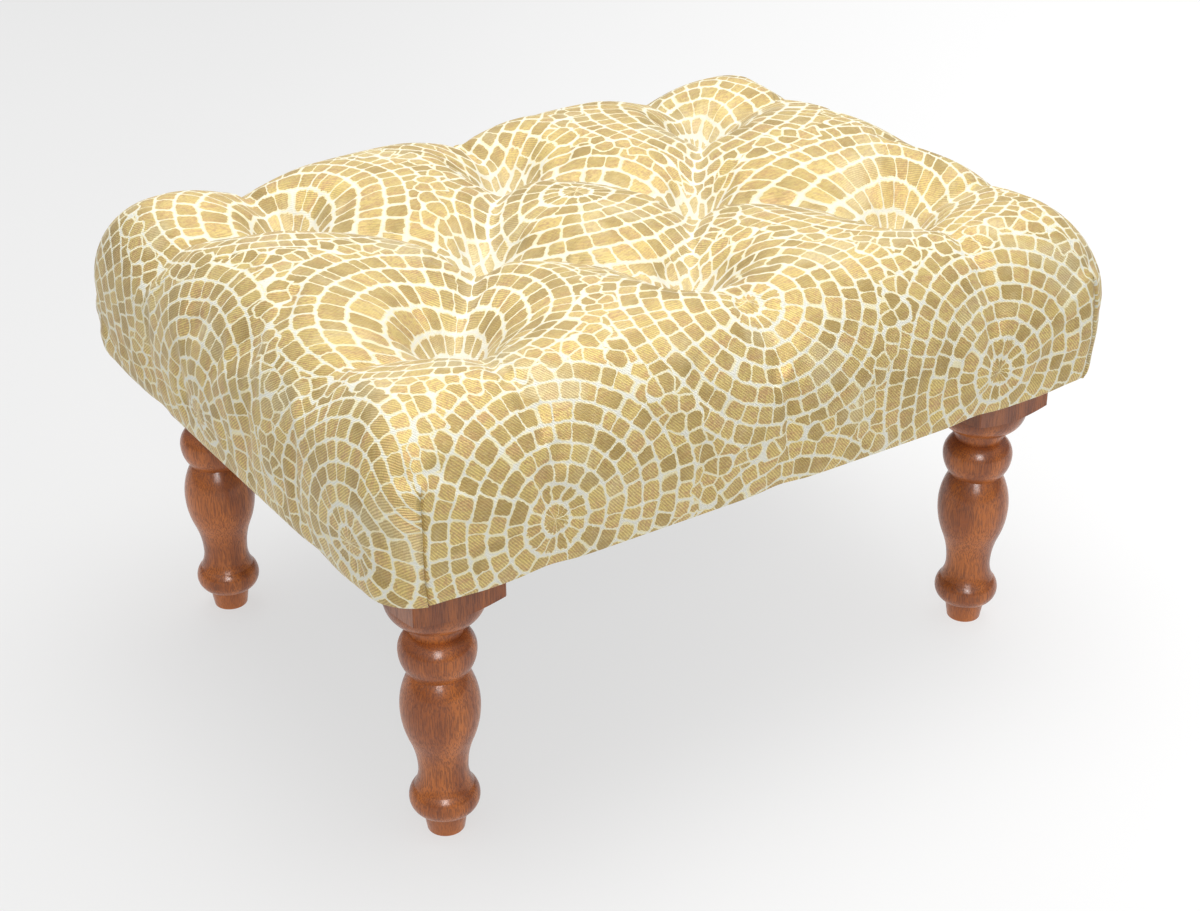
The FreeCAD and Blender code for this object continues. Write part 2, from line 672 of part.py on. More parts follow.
def leg(corner):
    """A turned leg below its square block, bored for the hanger bolt."""
    outline = Part.Wire(Part.__sortEdges__(leg_outline()))
    turning = Part.Face(outline).revolve(vector(0, 0, 0), Z_AXIS, 360)
    half = LEG_BLOCK_WIDTH / 2
    blank = box(vector(-half, -half, -OVERRUN), vector(half, half, LEG_TOP))
    blank = blank.makeChamfer(LEG_BLOCK_CHAMFER, blank.Edges)
    body = turning.common(blank)
    body.translate(leg_place(corner))
    return body.cut(leg_bolt(corner))


def bottom_cloth():
    """The dust cloth under the seat, pierced by the leg bolts and its staples."""
    margin = BOTTOM_CLOTH_MARGIN
    cloth = box(vector(margin - FRAME_HALF_X, margin - FRAME_HALF_Y, LEG_TOP),
                vector(FRAME_HALF_X - margin, FRAME_HALF_Y - margin, CLOTH_TOP))
    for corner in CORNERS:
        low = leg_place(corner) + Z_AXIS * (LEG_TOP - OVERRUN)
        high = leg_place(corner) + Z_AXIS * (CLOTH_TOP + OVERRUN)
        cloth = cloth.cut(cylinder(BOLT_RADIUS + BOLT_HOLE_CLEARANCE, low, high))
    return cloth.cut(Part.makeCompound(cloth_staples()))


def corner_block(corner):
    """A square block in a corner of the frame with its inner corner cut off, bored for the bolt."""
    outer = vector(corner[0] * (FRAME_HALF_X - RAIL_THICKNESS), corner[1] * SIDE_RAIL_HALF, CLOTH_TOP)
    inner_x = -corner[0] * CORNER_BLOCK_SIZE
    inner_y = -corner[1] * CORNER_BLOCK_SIZE
    bevel_x = corner[0] * CORNER_BLOCK_BEVEL
    bevel_y = corner[1] * CORNER_BLOCK_BEVEL
    offsets = [(0, 0), (inner_x, 0), (inner_x, inner_y + bevel_y),
               (inner_x + bevel_x, inner_y), (0, inner_y), (0, 0)]
    outline = Part.makePolygon([outer + vector(x, y, 0) for x, y in offsets])
    block = Part.Face(outline).extrude(vector(0, 0, BLOCK_TOP - CLOTH_TOP))
    low = leg_place(corner) + Z_AXIS * (CLOTH_TOP - OVERRUN)
    high = leg_place(corner) + Z_AXIS * (BLOCK_TOP + OVERRUN)
    block = block.cut(cylinder(BOLT_RADIUS + BOLT_HOLE_CLEARANCE, low, high))
    barrel_low = leg_place(corner) + Z_AXIS * (BLOCK_TOP - TEE_NUT_BARREL_LENGTH)
    return block.cut(cylinder(TEE_NUT_BARREL_RADIUS, barrel_low, high))


def long_rail(side):
    """The front or rear rail, which runs the frame's whole length."""
    whole = rounded_plate(FRAME_HALF_X, FRAME_HALF_Y, FRAME_CORNER_RADIUS, RAIL_BOTTOM, DECK_BOTTOM)
    near = side * SIDE_RAIL_HALF
    far = side * (FRAME_HALF_Y + OVERRUN)
    slab = corner_box(vector(-FRAME_HALF_X - OVERRUN, near, RAIL_BOTTOM - OVERRUN),
                      vector(FRAME_HALF_X + OVERRUN, far, DECK_BOTTOM + OVERRUN))
    return whole.common(slab)


def side_rail(side):
    """The left or right rail, between the front and rear rails."""
    return corner_box(vector(side * (FRAME_HALF_X - RAIL_THICKNESS), -SIDE_RAIL_HALF, RAIL_BOTTOM),
                      vector(side * FRAME_HALF_X, SIDE_RAIL_HALF, DECK_BOTTOM))


def deck_board():
    """The plywood deck over the rails, drilled for the button twines."""
    deck = rounded_plate(FRAME_HALF_X, FRAME_HALF_Y, FRAME_CORNER_RADIUS, DECK_BOTTOM, DECK_TOP)
    for place in TUFT_PLACES:
        low = vector(place[0], place[1], DECK_BOTTOM - OVERRUN)
        high = vector(place[0], place[1], DECK_TOP + OVERRUN)
        deck = deck.cut(cylinder(TWINE_HOLE_RADIUS, low, high))
    return deck


def footstool():
    """Every sub-part by its name, as one solid or a list of separate ones."""
    holes = Part.makeCompound(frame_screw_holes())
    rail_holes = Part.makeCompound([holes] + cover_staples() + cloth_staples())
    parts = {
        "front_rail": long_rail(-1).cut(rail_holes),
        "rear_rail": long_rail(1).cut(rail_holes),
        "left_rail": side_rail(-1).cut(rail_holes),
        "right_rail": side_rail(1).cut(rail_holes),
        "deck_board": deck_board().cut(holes),
        "foam_pad": foam_pad(),
        "wadding": wadding(),
        "seat_cover": seat_cover().cut(Part.makeCompound(cloth_staples())),
        "bottom_cloth": bottom_cloth(),
        "rail_screws": screws(RAIL_SCREW_LENGTH, rail_screw_places()),
        "corner_block_screws": screws(BLOCK_SCREW_LENGTH, block_screw_places()),
        "deck_screws": screws(DECK_SCREW_LENGTH, deck_screw_places()),
        "cover_staples": cover_staples(),
        "cloth_staples": cloth_staples(),
        "leg_bolts": [leg_bolt(corner) for corner in CORNERS],
        "tee_nuts": [tee_nut(corner) for corner in CORNERS],
        "button_anchors": [button_anchor(place) for place in TUFT_PLACES],
    }
    for name, corner in zip(CORNER_NAMES, CORNERS):
        parts["leg_" + name] = leg(corner)
        parts["corner_block_" + name] = corner_block(corner).cut(holes)
    for number, place in enumerate(TUFT_PLACES, start=1):
        parts[f"tuft_button_{number}"] = tuft_button(place)
        parts[f"button_twine_{number}"] = twine(place)
    return parts


os.makedirs("parts", exist_ok=True)
for part_name, content in footstool().items():
    shape = Part.makeCompound(content) if isinstance(content, list) else content
    solids = shape.Solids
    whole = Part.makeCompound(solids) if len(solids) > 1 else solids[0]
    whole.exportStep(f"parts/{part_name}.step")
    print(part_name, len(solids), round(whole.Volume), whole.isValid())
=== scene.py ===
"""Looks of a deep-buttoned footstool on turned legs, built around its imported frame. Lengths are in metres."""

from __future__ import annotations

import logging
import math
from dataclasses import dataclass, field, replace
from enum import Enum
from typing import ClassVar, Iterable, Sequence, Union

import bpy
import numpy as np
from mathutils import Matrix, Vector

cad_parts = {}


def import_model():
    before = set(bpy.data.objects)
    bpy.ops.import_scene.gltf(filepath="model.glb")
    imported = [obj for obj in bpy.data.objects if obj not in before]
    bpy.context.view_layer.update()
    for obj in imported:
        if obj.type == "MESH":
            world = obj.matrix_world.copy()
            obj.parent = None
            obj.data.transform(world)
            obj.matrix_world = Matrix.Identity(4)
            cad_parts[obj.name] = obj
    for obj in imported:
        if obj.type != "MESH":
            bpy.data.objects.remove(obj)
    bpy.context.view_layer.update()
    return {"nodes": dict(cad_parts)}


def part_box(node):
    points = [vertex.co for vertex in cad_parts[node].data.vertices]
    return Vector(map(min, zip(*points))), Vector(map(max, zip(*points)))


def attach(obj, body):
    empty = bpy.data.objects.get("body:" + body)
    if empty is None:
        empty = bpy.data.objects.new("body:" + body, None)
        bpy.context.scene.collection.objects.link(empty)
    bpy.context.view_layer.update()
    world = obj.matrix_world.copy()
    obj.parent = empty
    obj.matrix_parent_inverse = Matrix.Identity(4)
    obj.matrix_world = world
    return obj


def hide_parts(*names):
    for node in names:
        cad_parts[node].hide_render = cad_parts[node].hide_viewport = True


MM = 0.001
QUARTER_TURN = math.pi / 2
FULL_TURN = 2 * math.pi
BODY = "root"
TUFTS = 8
CLOTH_POINT = "cloth_point"
Colour = tuple[float, float, float, float]

log = logging.getLogger("footstool")


class Slot(str, Enum):
    """Material slots of the record that the scene's own pieces use."""

    COVER = "cover_fabric"
    FOAM = "foam"
    WADDING = "wadding_fibre"
    UNDERSIDE = "dust_cloth"


class Grain(Enum):
    """Direction that a piece of wood's grain runs in, as the axes that become x, y and z of the grain."""

    ALONG_X = ("Y", "Z", "X")
    ALONG_Y = ("X", "Z", "Y")
    ALONG_Z = ("X", "Y", "Z")


class Side(Enum):
    """Sides of the seat in the order that its rings run round."""

    FRONT = 0
    RIGHT = 1
    REAR = 2
    LEFT = 3


def eased(value: np.ndarray) -> np.ndarray:
    """Smooth step from 0 to 1."""
    share = np.clip(value, 0.0, 1.0)
    return share * share * (3.0 - 2.0 * share)


def linear(red: int, green: int, blue: int) -> Colour:
    """Colour in linear light of a display colour whose three parts are given in steps of 255."""
    shares = (step / 255 for step in (red, green, blue))
    return *(share / 12.92 if share <= 0.04045 else ((share + 0.055) / 1.055) ** 2.4 for share in shares), 1.0


class Graph:
    """Places nodes in a node tree and links them."""

    mix_sockets = {"FLOAT": (0, 2, 3, 0), "VECTOR": (0, 4, 5, 1), "RGBA": (0, 6, 7, 2)}

    def __init__(self, tree: bpy.types.NodeTree) -> None:
        """Takes the tree to fill: a material's, a group's or the world's."""
        self.tree = tree

    def feed(self, socket: bpy.types.NodeSocket, value: Input) -> None:
        """Links a field to a socket, or sets the socket's own value.

        Args:
            socket: an input socket of a node of the tree.
            value: the field, or a plain value.
        """
        if isinstance(value, Field):
            self.tree.links.new(value.socket, socket)
        else:
            socket.default_value = value

    def add(self, kind: str, settings: dict[str, object] | None = None, **inputs: Input) -> bpy.types.Node:
        """Adds a node.

        Args:
            kind: the node's type, without the words ShaderNode.
            settings: the node's own properties.
            inputs: values or fields by socket name, with spaces as underscores.

        Returns:
            The new node.
        """
        node = self.tree.nodes.new("ShaderNode" + kind)
        for name, value in (settings or {}).items():
            setattr(node, name, value)
        for name, value in inputs.items():
            self.feed(node.inputs[name.replace("_", " ")], value)
        return node

    def out(self, node: bpy.types.Node, name: str | int = 0) -> Field:
        """The named output of a node as a field."""
        return Field(self, node.outputs[name])

    def result(self, kind: str, operation: str, values: Iterable[Input], output: int = 0) -> Field:
        """Result of a Math or Vector Math node.

        Args:
            kind: Math or VectorMath.
            operation: the node's operation.
            values: what its first inputs take, in order.
            output: the number of the output that holds the result.

        Returns:
            The result.
        """
        node = self.add(kind, {"operation": operation})
        for socket, value in zip(node.inputs, values):
            self.feed(socket, value)
        return self.out(node, output)

    def math(self, operation: str, *values: Input) -> Field:
        """Result of a Math node on one to three values."""
        return self.result("Math", operation, values)

    def vector(self, operation: str, *values: Input) -> Field:
        """Vector result of a Vector Math node on one or two vectors."""
        return self.result("VectorMath", operation, values)

    def scaled(self, point: Field, scale: Input) -> Field:
        """A vector times a number."""
        return self.out(self.add("VectorMath", {"operation": "SCALE"}, Vector=point, Scale=scale))

    def length(self, point: Field) -> Field:
        """Length of a vector."""
        return self.result("VectorMath", "LENGTH", [point], 1)

    def split(self, point: Field) -> tuple[Field, Field, Field]:
        """The three parts of a vector."""
        node = self.add("SeparateXYZ", Vector=point)
        return self.out(node, 0), self.out(node, 1), self.out(node, 2)

    def join(self, x: Input, y: Input, z: Input = 0.0) -> Field:
        """A vector of three parts."""
        return self.out(self.add("CombineXYZ", X=x, Y=y, Z=z))

    def step(self, value: Input, low: Input, high: Input) -> Field:
        """Smooth step of a value.

        Args:
            value: the value.
            low: where the step begins.
            high: where it ends.

        Returns:
            0 up to low, 1 from high on, and a smooth change between.
        """
        node = self.add("MapRange", {"interpolation_type": "SMOOTHSTEP"}, Value=value, From_Min=low,
                        From_Max=high)
        return self.out(node, "Result")

    def ranged(self, value: Input, low: Input, high: Input) -> Field:
        """Value of 0 to 1 spread from low to high."""
        return self.out(self.add("MapRange", Value=value, To_Min=low, To_Max=high), "Result")

    def mix(self, kind: str, factor: Input, first: Input, second: Input) -> Field:
        """Result of a Mix node.

        Args:
            kind: the node's data type: FLOAT, VECTOR or RGBA.
            factor: the second value's share.
            first: the value at a share of 0.
            second: the value at a share of 1.

        Returns:
            The mixed value.
        """
        node = self.add("Mix", {"data_type": kind, "clamp_result": kind == "RGBA"})
        *sockets, output = self.mix_sockets[kind]
        for index, value in zip(sockets, (factor, first, second)):
            self.feed(node.inputs[index], value)
        return self.out(node, output)

    def colours(self, factor: Input, first: Input, second: Input) -> Field:
        """Mix of two colours."""
        return self.mix("RGBA", factor, first, second)

    def between(self, factor: Input, first: Input, second: Input) -> Field:
        """Mix of two numbers."""
        return self.mix("FLOAT", factor, first, second)

    def either(self, factor: Input, first: Input, second: Input) -> Field:
        """Mix of two vectors."""
        return self.mix("VECTOR", factor, first, second)

    def noise(self, point: Input, scale: float | Sequence[float], detail: float = 2.0, roughness: float = 0.5,
              output: str = "Fac") -> Field:
        """Noise over the surface.

        Args:
            point: where it is read.
            scale: how quickly it changes, one number or one for each direction.
            detail: how many finer sizes are added.
            roughness: how strong the finer sizes are.
            output: Fac for one value, Color for three.

        Returns:
            The noise, about 0 to 1.
        """
        if not isinstance(scale, float):
            point, scale = self.vector("MULTIPLY", point, scale), 1.0
        node = self.add("TexNoise", Vector=point, Scale=scale, Detail=detail, Roughness=roughness)
        return self.out(node, output)

    def chance(self, point: Input) -> Field:
        """A number from 0 to 1 that differs from cell to cell."""
        return self.out(self.add("TexWhiteNoise", {"noise_dimensions": "3D"}, Vector=point), "Value")


@dataclass(frozen=True)
class Field:
    """A value that changes over a surface, which takes part in sums like a number."""

    graph: Graph
    socket: bpy.types.NodeSocket

    def __add__(self, other: Input) -> Field:
        """Sum."""
        return self.graph.math("ADD", self, other)

    def __radd__(self, other: float) -> Field:
        """Sum with a number."""
        return self.graph.math("ADD", other, self)

    def __sub__(self, other: Input) -> Field:
        """Difference."""
        return self.graph.math("SUBTRACT", self, other)

    def __rsub__(self, other: float) -> Field:
        """Difference from a number."""
        return self.graph.math("SUBTRACT", other, self)

    def __mul__(self, other: Input) -> Field:
        """Product."""
        return self.graph.math("MULTIPLY", self, other)

    def __truediv__(self, other: Input) -> Field:
        """Quotient."""
        return self.graph.math("DIVIDE", self, other)

    def floor(self) -> Field:
        """Whole part."""
        return self.graph.math("FLOOR", self)

    def fract(self) -> Field:
        """Part after the point."""
        return self.graph.math("FRACT", self)

    def size(self) -> Field:
        """Absolute value."""
        return self.graph.math("ABSOLUTE", self)

    def least(self, other: Input) -> Field:
        """The smaller of two values."""
        return self.graph.math("MINIMUM", self, other)

    def most(self, other: Input) -> Field:
        """The larger of two values."""
        return self.graph.math("MAXIMUM", self, other)

    def above(self, other: Input) -> Field:
        """1 where the value is above the other, otherwise 0."""
        return self.graph.math("GREATER_THAN", self, other)

    def below(self, other: Input) -> Field:
        """1 where the value is below the other, otherwise 0."""
        return self.graph.math("LESS_THAN", self, other)


Input = Union[Field, float, Sequence[float]]


class Group:
    """A shader node group with named inputs and outputs, made on its first use."""

    title = ""
    inputs: dict[str, tuple[str, object]] = {}
    outputs: dict[str, str] = {}

    def fill(self, graph: Graph, given: dict[str, Field]) -> dict[str, Field]:
        """Makes the inside of the group, from its inputs as fields to those of its outputs."""
        raise NotImplementedError

    def tree(self) -> bpy.types.NodeTree:
        """Gives the group's node tree, which is built on the first call.

        Returns:
            The tree, with its named sockets.
        """
        made = bpy.data.node_groups.get(self.title)
        if made:
            return made
        made = bpy.data.node_groups.new(self.title, "ShaderNodeTree")
        for name, (kind, value) in self.inputs.items():
            socket = made.interface.new_socket(name, in_out="INPUT", socket_type="NodeSocket" + kind)
            if value is not None:
                socket.default_value = value
        for name, kind in self.outputs.items():
            made.interface.new_socket(name, in_out="OUTPUT", socket_type="NodeSocket" + kind)
        graph = Graph(made)
        source = made.nodes.new("NodeGroupInput")
        target = made.nodes.new("NodeGroupOutput")
        results = self.fill(graph, {name: Field(graph, source.outputs[name]) for name in self.inputs})
        for name, result in results.items():
            graph.feed(target.inputs[name], result)
        return made

    def place(self, graph: Graph, **inputs: Input) -> dict[str, Field]:
        """Places the group in a material.

        Args:
            graph: the material's graph.
            inputs: values or fields by input name, with spaces as underscores.

        Returns:
            The group's outputs by name.
        """
        node = graph.tree.nodes.new("ShaderNodeGroup")
        node.node_tree = self.tree()
        for name, value in inputs.items():
            graph.feed(node.inputs[name.replace("_", " ")], value)
        return {name: graph.out(node, name) for name in self.outputs}


class RingMosaic(Group):
    """Rings of small rounded tiles round rosettes, with broken tiles where two sets of rings meet.

    The gaps are the joint's part beside each kind of tile, as shares of its width.
    """

    title = "Ring mosaic"
    inputs = {
        "Point": ("Vector", None),
        "Ring Pitch": ("Float", 13.5 * MM),
        "Tile Width": ("Float", 13.0 * MM),
        "Joint": ("Float", 0.98 * MM),
    }
    outputs = {"Tile": "Float", "Halo": "Float", "Tone": "Float", "Second Tone": "Float"}
    column_pitch = 186 * MM
    row_pitch = 215 * MM
    first_rosette = (0.0, 21 * MM, 0.0)
    rosette_radius = 9.6 * MM
    petal_start = 12.2 * MM
    petal_end = 22.6 * MM
    rings_start = 24.6 * MM
    petals = 14.0
    broken_reach = 7.0 * MM
    broken_scale = 82.0
    broken_spread = 0.8
    broken_radius = 6.9 * MM
    corner = 2.3 * MM
    petal_corner = 2.0 * MM
    bends = ((17.0, 1.0, 5.5 * MM), (68.0, 1.0, 3.0 * MM), (330.0, 2.0, 2.0 * MM))
    petal_jag = 4.2 * MM
    jag_scale = 430.0
    ring_sway = 0.9
    petal_sway = 0.6
    sway_scale = 0.12
    ring_gap = 1.05
    side_gap = 0.5
    side_gap_spread = 0.55
    rosette_gap = 0.75
    cut_gap = 0.6
    shard_gap = 0.8
    tile_edge = (-0.1 * MM, 0.3 * MM)
    halo_edge = (-0.9 * MM, -0.3 * MM)

    def nearest(self, graph: Graph, point: Field, origin: Sequence[float]) -> tuple[Field, Field]:
        """Finds the nearest point of one rectangular lattice.

        Args:
            graph: the group's graph.
            point: a point of the flat cloth.
            origin: one of the lattice's points.

        Returns:
            The vector from the nearest point, and that point's place in the lattice.
        """
        cell = (2 * self.column_pitch, self.row_pitch, 1.0)
        moved = graph.vector("SUBTRACT", point, origin)
        place = graph.vector("FLOOR", graph.vector("ADD", graph.vector("DIVIDE", moved, cell), (0.5, 0.5, 0.0)))
        return graph.vector("SUBTRACT", moved, graph.vector("MULTIPLY", place, cell)), place

    def meeting(self, graph: Graph, point: Field) -> tuple[Field, Field, Field]:
        """Finds the nearest rosette.

        Args:
            graph: the group's graph.
            point: a point of the flat cloth.

        Returns:
            The vector from that rosette, its place, and the distance to the line where its rings meet others.
        """
        origin = self.first_rosette
        half_drop = (self.column_pitch, origin[1] + self.row_pitch / 2, 0.0)
        first, first_place = self.nearest(graph, point, origin)
        second, second_place = self.nearest(graph, point, half_drop)
        first_far, second_far = graph.length(first), graph.length(second)
        use_second = first_far.above(second_far)
        spoke = graph.either(use_second, first, second)
        place = graph.either(use_second, first_place, graph.vector("ADD", second_place, (0.37, 0.61, 0.0)))
        apart = graph.length(graph.vector("SUBTRACT", first, second))
        squares = (first_far * first_far - second_far * second_far).size()
        _, along, _ = graph.split(spoke)
        return spoke, place, (squares / (apart * 2.0)).least(self.row_pitch / 2 - along.size())

    def bent(self, graph: Graph, flat: Field) -> Field:
        """Shifts a point by noise of three sizes, so that no line of the print is straight.

        Args:
            graph: the group's graph.
            flat: a point of the flat cloth.

        Returns:
            The shifted point.
        """
        point = flat
        for scale, detail, reach in self.bends:
            shift = graph.vector("SUBTRACT", graph.noise(flat, scale, detail, output="Color"), (0.5, 0.5, 0.5))
            point = graph.vector("ADD", point, graph.scaled(shift, reach))
        return graph.vector("MULTIPLY", point, (1.0, 1.0, 0.0))

    def fill(self, graph: Graph, given: dict[str, Field]) -> dict[str, Field]:
        """Works out the tiles from polar coordinates round the nearest rosette.

        Args:
            graph: the group's own graph.
            given: the group's inputs as fields.

        Returns:
            Masks of the tiles and of the pale edge beside them, and two random tones for each tile.
        """
        flat = graph.vector("MULTIPLY", given["Point"], (1.0, 1.0, 0.0))
        point = self.bent(graph, flat)
        spoke, place, _ = self.meeting(graph, point)
        radius = graph.length(spoke)
        across, along, _ = graph.split(spoke)
        angle = graph.math("ARCTAN2", along, across)

        pitch, gap = given["Ring Pitch"], given["Joint"]
        out = (radius - self.rings_start) / pitch
        is_ring = radius.above(self.rings_start)
        is_petal = radius.above((self.rosette_radius + self.petal_start) / 2) * (1.0 - is_ring)
        ring = graph.between(is_ring, -1.0 - (1.0 - is_petal), out.floor())
        middle = (out.floor() + 0.5) * pitch + self.rings_start
        number = graph.between(is_ring, self.petals, (middle * FULL_TURN / given["Tile Width"]).floor())
        jag = (graph.noise(flat, self.jag_scale, 1.0) - 0.5) * self.petal_jag
        petal_edge = (radius - self.petal_start).least(self.petal_end - radius)
        ring_edge = (out.fract().least(1.0 - out.fract())) * pitch - gap * self.ring_gap
        rosette_edge = graph.between(is_petal, self.rosette_radius - radius, petal_edge) + jag
        edge = graph.between(is_ring, rosette_edge, ring_edge)

        # The odd factors in the seeds keep one tile's number from turning up again in the tiles beside it.
        place_x, place_y, _ = graph.split(place)
        phase = graph.chance(graph.join(place_x, place_y, ring))
        loop = graph.join(graph.math("COSINE", angle), graph.math("SINE", angle), phase * 9.0 + ring)
        sway = graph.noise(graph.scaled(loop, number * self.sway_scale), 1.0, 1.0) - 0.5
        walk = angle / FULL_TURN * number + phase + sway * (is_ring * self.ring_sway + self.petal_sway)
        joint = graph.chance(graph.join((walk + 0.5).floor(), ring + place_x * 3.1, place_y * 5.7))
        arc = radius * FULL_TURN / number
        side_edge = walk.fract().least(1.0 - walk.fract()) * arc
        side_edge = side_edge - gap * (joint * self.side_gap_spread + self.side_gap)
        side_edge = side_edge + (1.0 - is_ring) * (1.0 - is_petal) * gap * self.rosette_gap
        rounding = graph.between(is_ring, self.petal_corner, self.corner)
        over_edge, over_side = (rounding - edge).most(0.0), (rounding - side_edge).most(0.0)
        ring_tile = rounding - graph.math("SQRT", over_edge * over_edge + over_side * over_side)

        cells = {feature: graph.add("TexVoronoi", {"voronoi_dimensions": "2D", "feature": feature}, Vector=point,
                                    Scale=self.broken_scale, Randomness=self.broken_spread)
                 for feature in ("F1", "F2", "DISTANCE_TO_EDGE")}
        near, far = (graph.out(cells[feature], "Position") for feature in ("F1", "F2"))
        near_far, far_far = (graph.out(cells[feature], "Distance") / self.broken_scale for feature in ("F1", "F2"))
        is_shard = self.meeting(graph, near)[2].below(self.broken_reach)
        beside_shard = self.meeting(graph, far)[2].below(self.broken_reach)
        reach = graph.length(graph.vector("SUBTRACT", far, near))
        cut = (far_far * far_far - near_far * near_far) / (reach * 2.0) - gap * self.cut_gap
        ring_tile = graph.between(beside_shard, ring_tile, ring_tile.least(cut))
        shard = graph.out(cells["DISTANCE_TO_EDGE"], "Distance") / self.broken_scale - gap * self.shard_gap
        shard = shard.least(self.broken_radius - near_far)
        depth = graph.between(is_shard, ring_tile, shard)
        ring_tone = graph.chance(graph.join(walk.floor(), ring + place_x * 7.3, place_y * 11.9))
        tone = graph.between(is_shard, ring_tone, graph.chance(near))
        return {
            "Tile": graph.step(depth, *self.tile_edge),
            "Halo": graph.step(depth, *self.halo_edge),
            "Tone": tone,
            "Second Tone": graph.chance(graph.join(tone * 91.7, tone * 37.1, 0.5)),
        }


class Twill(Group):
    """Slanting ribs of a twill cloth, with threads of uneven thickness.

    The point's third part is how far the cloth lies above its flat plane, so that ribs keep their pitch on slopes.
    """

    title = "Twill weave"
    inputs = {"Point": ("Vector", None), "Rib Pitch": ("Float", 1.7 * MM), "Slubs": ("Float", 0.2)}
    outputs = {"Height": "Float", "Rib": "Float", "Slub": "Float"}
    slant_across = 0.75
    slant_along = 0.66
    slant_rise = 0.8
    drift_scale = 120.0
    drift = 0.7
    weft_rate = 1.5
    rib_height = 0.8
    weft_height = 0.2
    slub_scale = (260.0, 900.0, 1.0)
    slub_limits = (0.42, 0.7)

    def fill(self, graph: Graph, given: dict[str, Field]) -> dict[str, Field]:
        """Works out the ribs from the cloth's directions.

        Args:
            graph: the group's own graph.
            given: the group's inputs as fields.

        Returns:
            The weave's height, and masks of the ribs and of the thick threads.
        """
        pitch = given["Rib Pitch"]
        across, along, rise = graph.split(given["Point"])
        drift = graph.noise(given["Point"], self.drift_scale, 1.0) - 0.5
        slant = (across * self.slant_across + along * self.slant_along + rise * self.slant_rise) / pitch
        rib = graph.math("SINE", (slant + drift * self.drift) * FULL_TURN) * 0.5 + 0.5
        weft = graph.math("SINE", (along + rise) / pitch * FULL_TURN * self.weft_rate) * 0.5 + 0.5
        slub = graph.step(graph.noise(given["Point"], self.slub_scale), *self.slub_limits)
        height = rib * self.rib_height + weft * self.weft_height + slub * given["Slubs"]
        return {"Height": height, "Rib": rib, "Slub": slub}


class WoodGrain(Group):
    """Growth rings, figure and pores of wood whose grain runs along z."""

    title = "Wood grain"
    inputs = {
        "Point": ("Vector", None),
        "Ring Pitch": ("Float", 5.0 * MM),
        "Pore Share": ("Float", 0.45),
        "Figure": ("Float", 1.0),
    }
    outputs = {"Tone": "Float", "Pores": "Float", "Height": "Float"}
    sway_scale = (14.0, 14.0, 5.0)
    sway = 6.0
    streak_scale = (620.0, 620.0, 16.0)
    cloud_scale = (55.0, 55.0, 22.0)
    pore_scale = (1300.0, 1300.0, 75.0)
    pore_limit = 0.66
    pore_reach = 0.3
    pore_edge = 0.1
    ring_slant = (0.9, 0.45)
    tone_shares = (0.25, 0.5, 0.25)
    streak_height = 0.5

    def fill(self, graph: Graph, given: dict[str, Field]) -> dict[str, Field]:
        """Works out the grain from noise drawn out along z.

        Args:
            graph: the group's own graph.
            given: the group's inputs as fields.

        Returns:
            The grain's tone, a mask of the pores, and the surface's height.
        """
        point = given["Point"]
        sway = graph.noise(point, self.sway_scale) * self.sway * given["Figure"]
        across, beside, _ = graph.split(point)
        rings = (across * self.ring_slant[0] + beside * self.ring_slant[1]) / given["Ring Pitch"] + sway
        ring = graph.math("SINE", rings * FULL_TURN) * 0.5 + 0.5
        streak = graph.noise(point, self.streak_scale, 3.0, 0.6)
        cloud = graph.noise(point, self.cloud_scale, 3.0, 0.55)
        limit = self.pore_limit - given["Pore Share"] * self.pore_reach
        pores = graph.step(graph.noise(point, self.pore_scale, 2.0, 0.6), limit, limit + self.pore_edge)
        first, second, third = self.tone_shares
        tone = ring * first + streak * second + cloud * third
        return {"Tone": tone, "Pores": pores, "Height": streak * self.streak_height - pores}


class Wear(Group):
    """Soiling and rubbing that come with use: a mask of faint patches and one of fine scratches."""

    title = "Wear and dust"
    inputs = {"Point": ("Vector", None), "Patch Scale": ("Float", 18.0), "Amount": ("Float", 0.5)}
    outputs = {"Patches": "Float", "Scratches": "Float"}
    patch_limits = (0.42, 0.72)
    scratch_scale = (3.0, 21.0, 60.0)
    scratch_limits = (0.66, 0.72)

    def fill(self, graph: Graph, given: dict[str, Field]) -> dict[str, Field]:
        """Works out the masks from noise.

        Args:
            graph: the group's own graph.
            given: the group's inputs as fields.

        Returns:
            The two masks.
        """
        point = graph.scaled(given["Point"], given["Patch Scale"])
        patches = graph.step(graph.noise(point, 1.0, 4.0, 0.6), *self.patch_limits)
        scratches = graph.step(graph.noise(point, self.scratch_scale), *self.scratch_limits)
        return {"Patches": patches * given["Amount"], "Scratches": scratches * given["Amount"]}


MOSAIC = RingMosaic()
TWILL = Twill()
WOOD_GRAIN = WoodGrain()
WEAR = Wear()


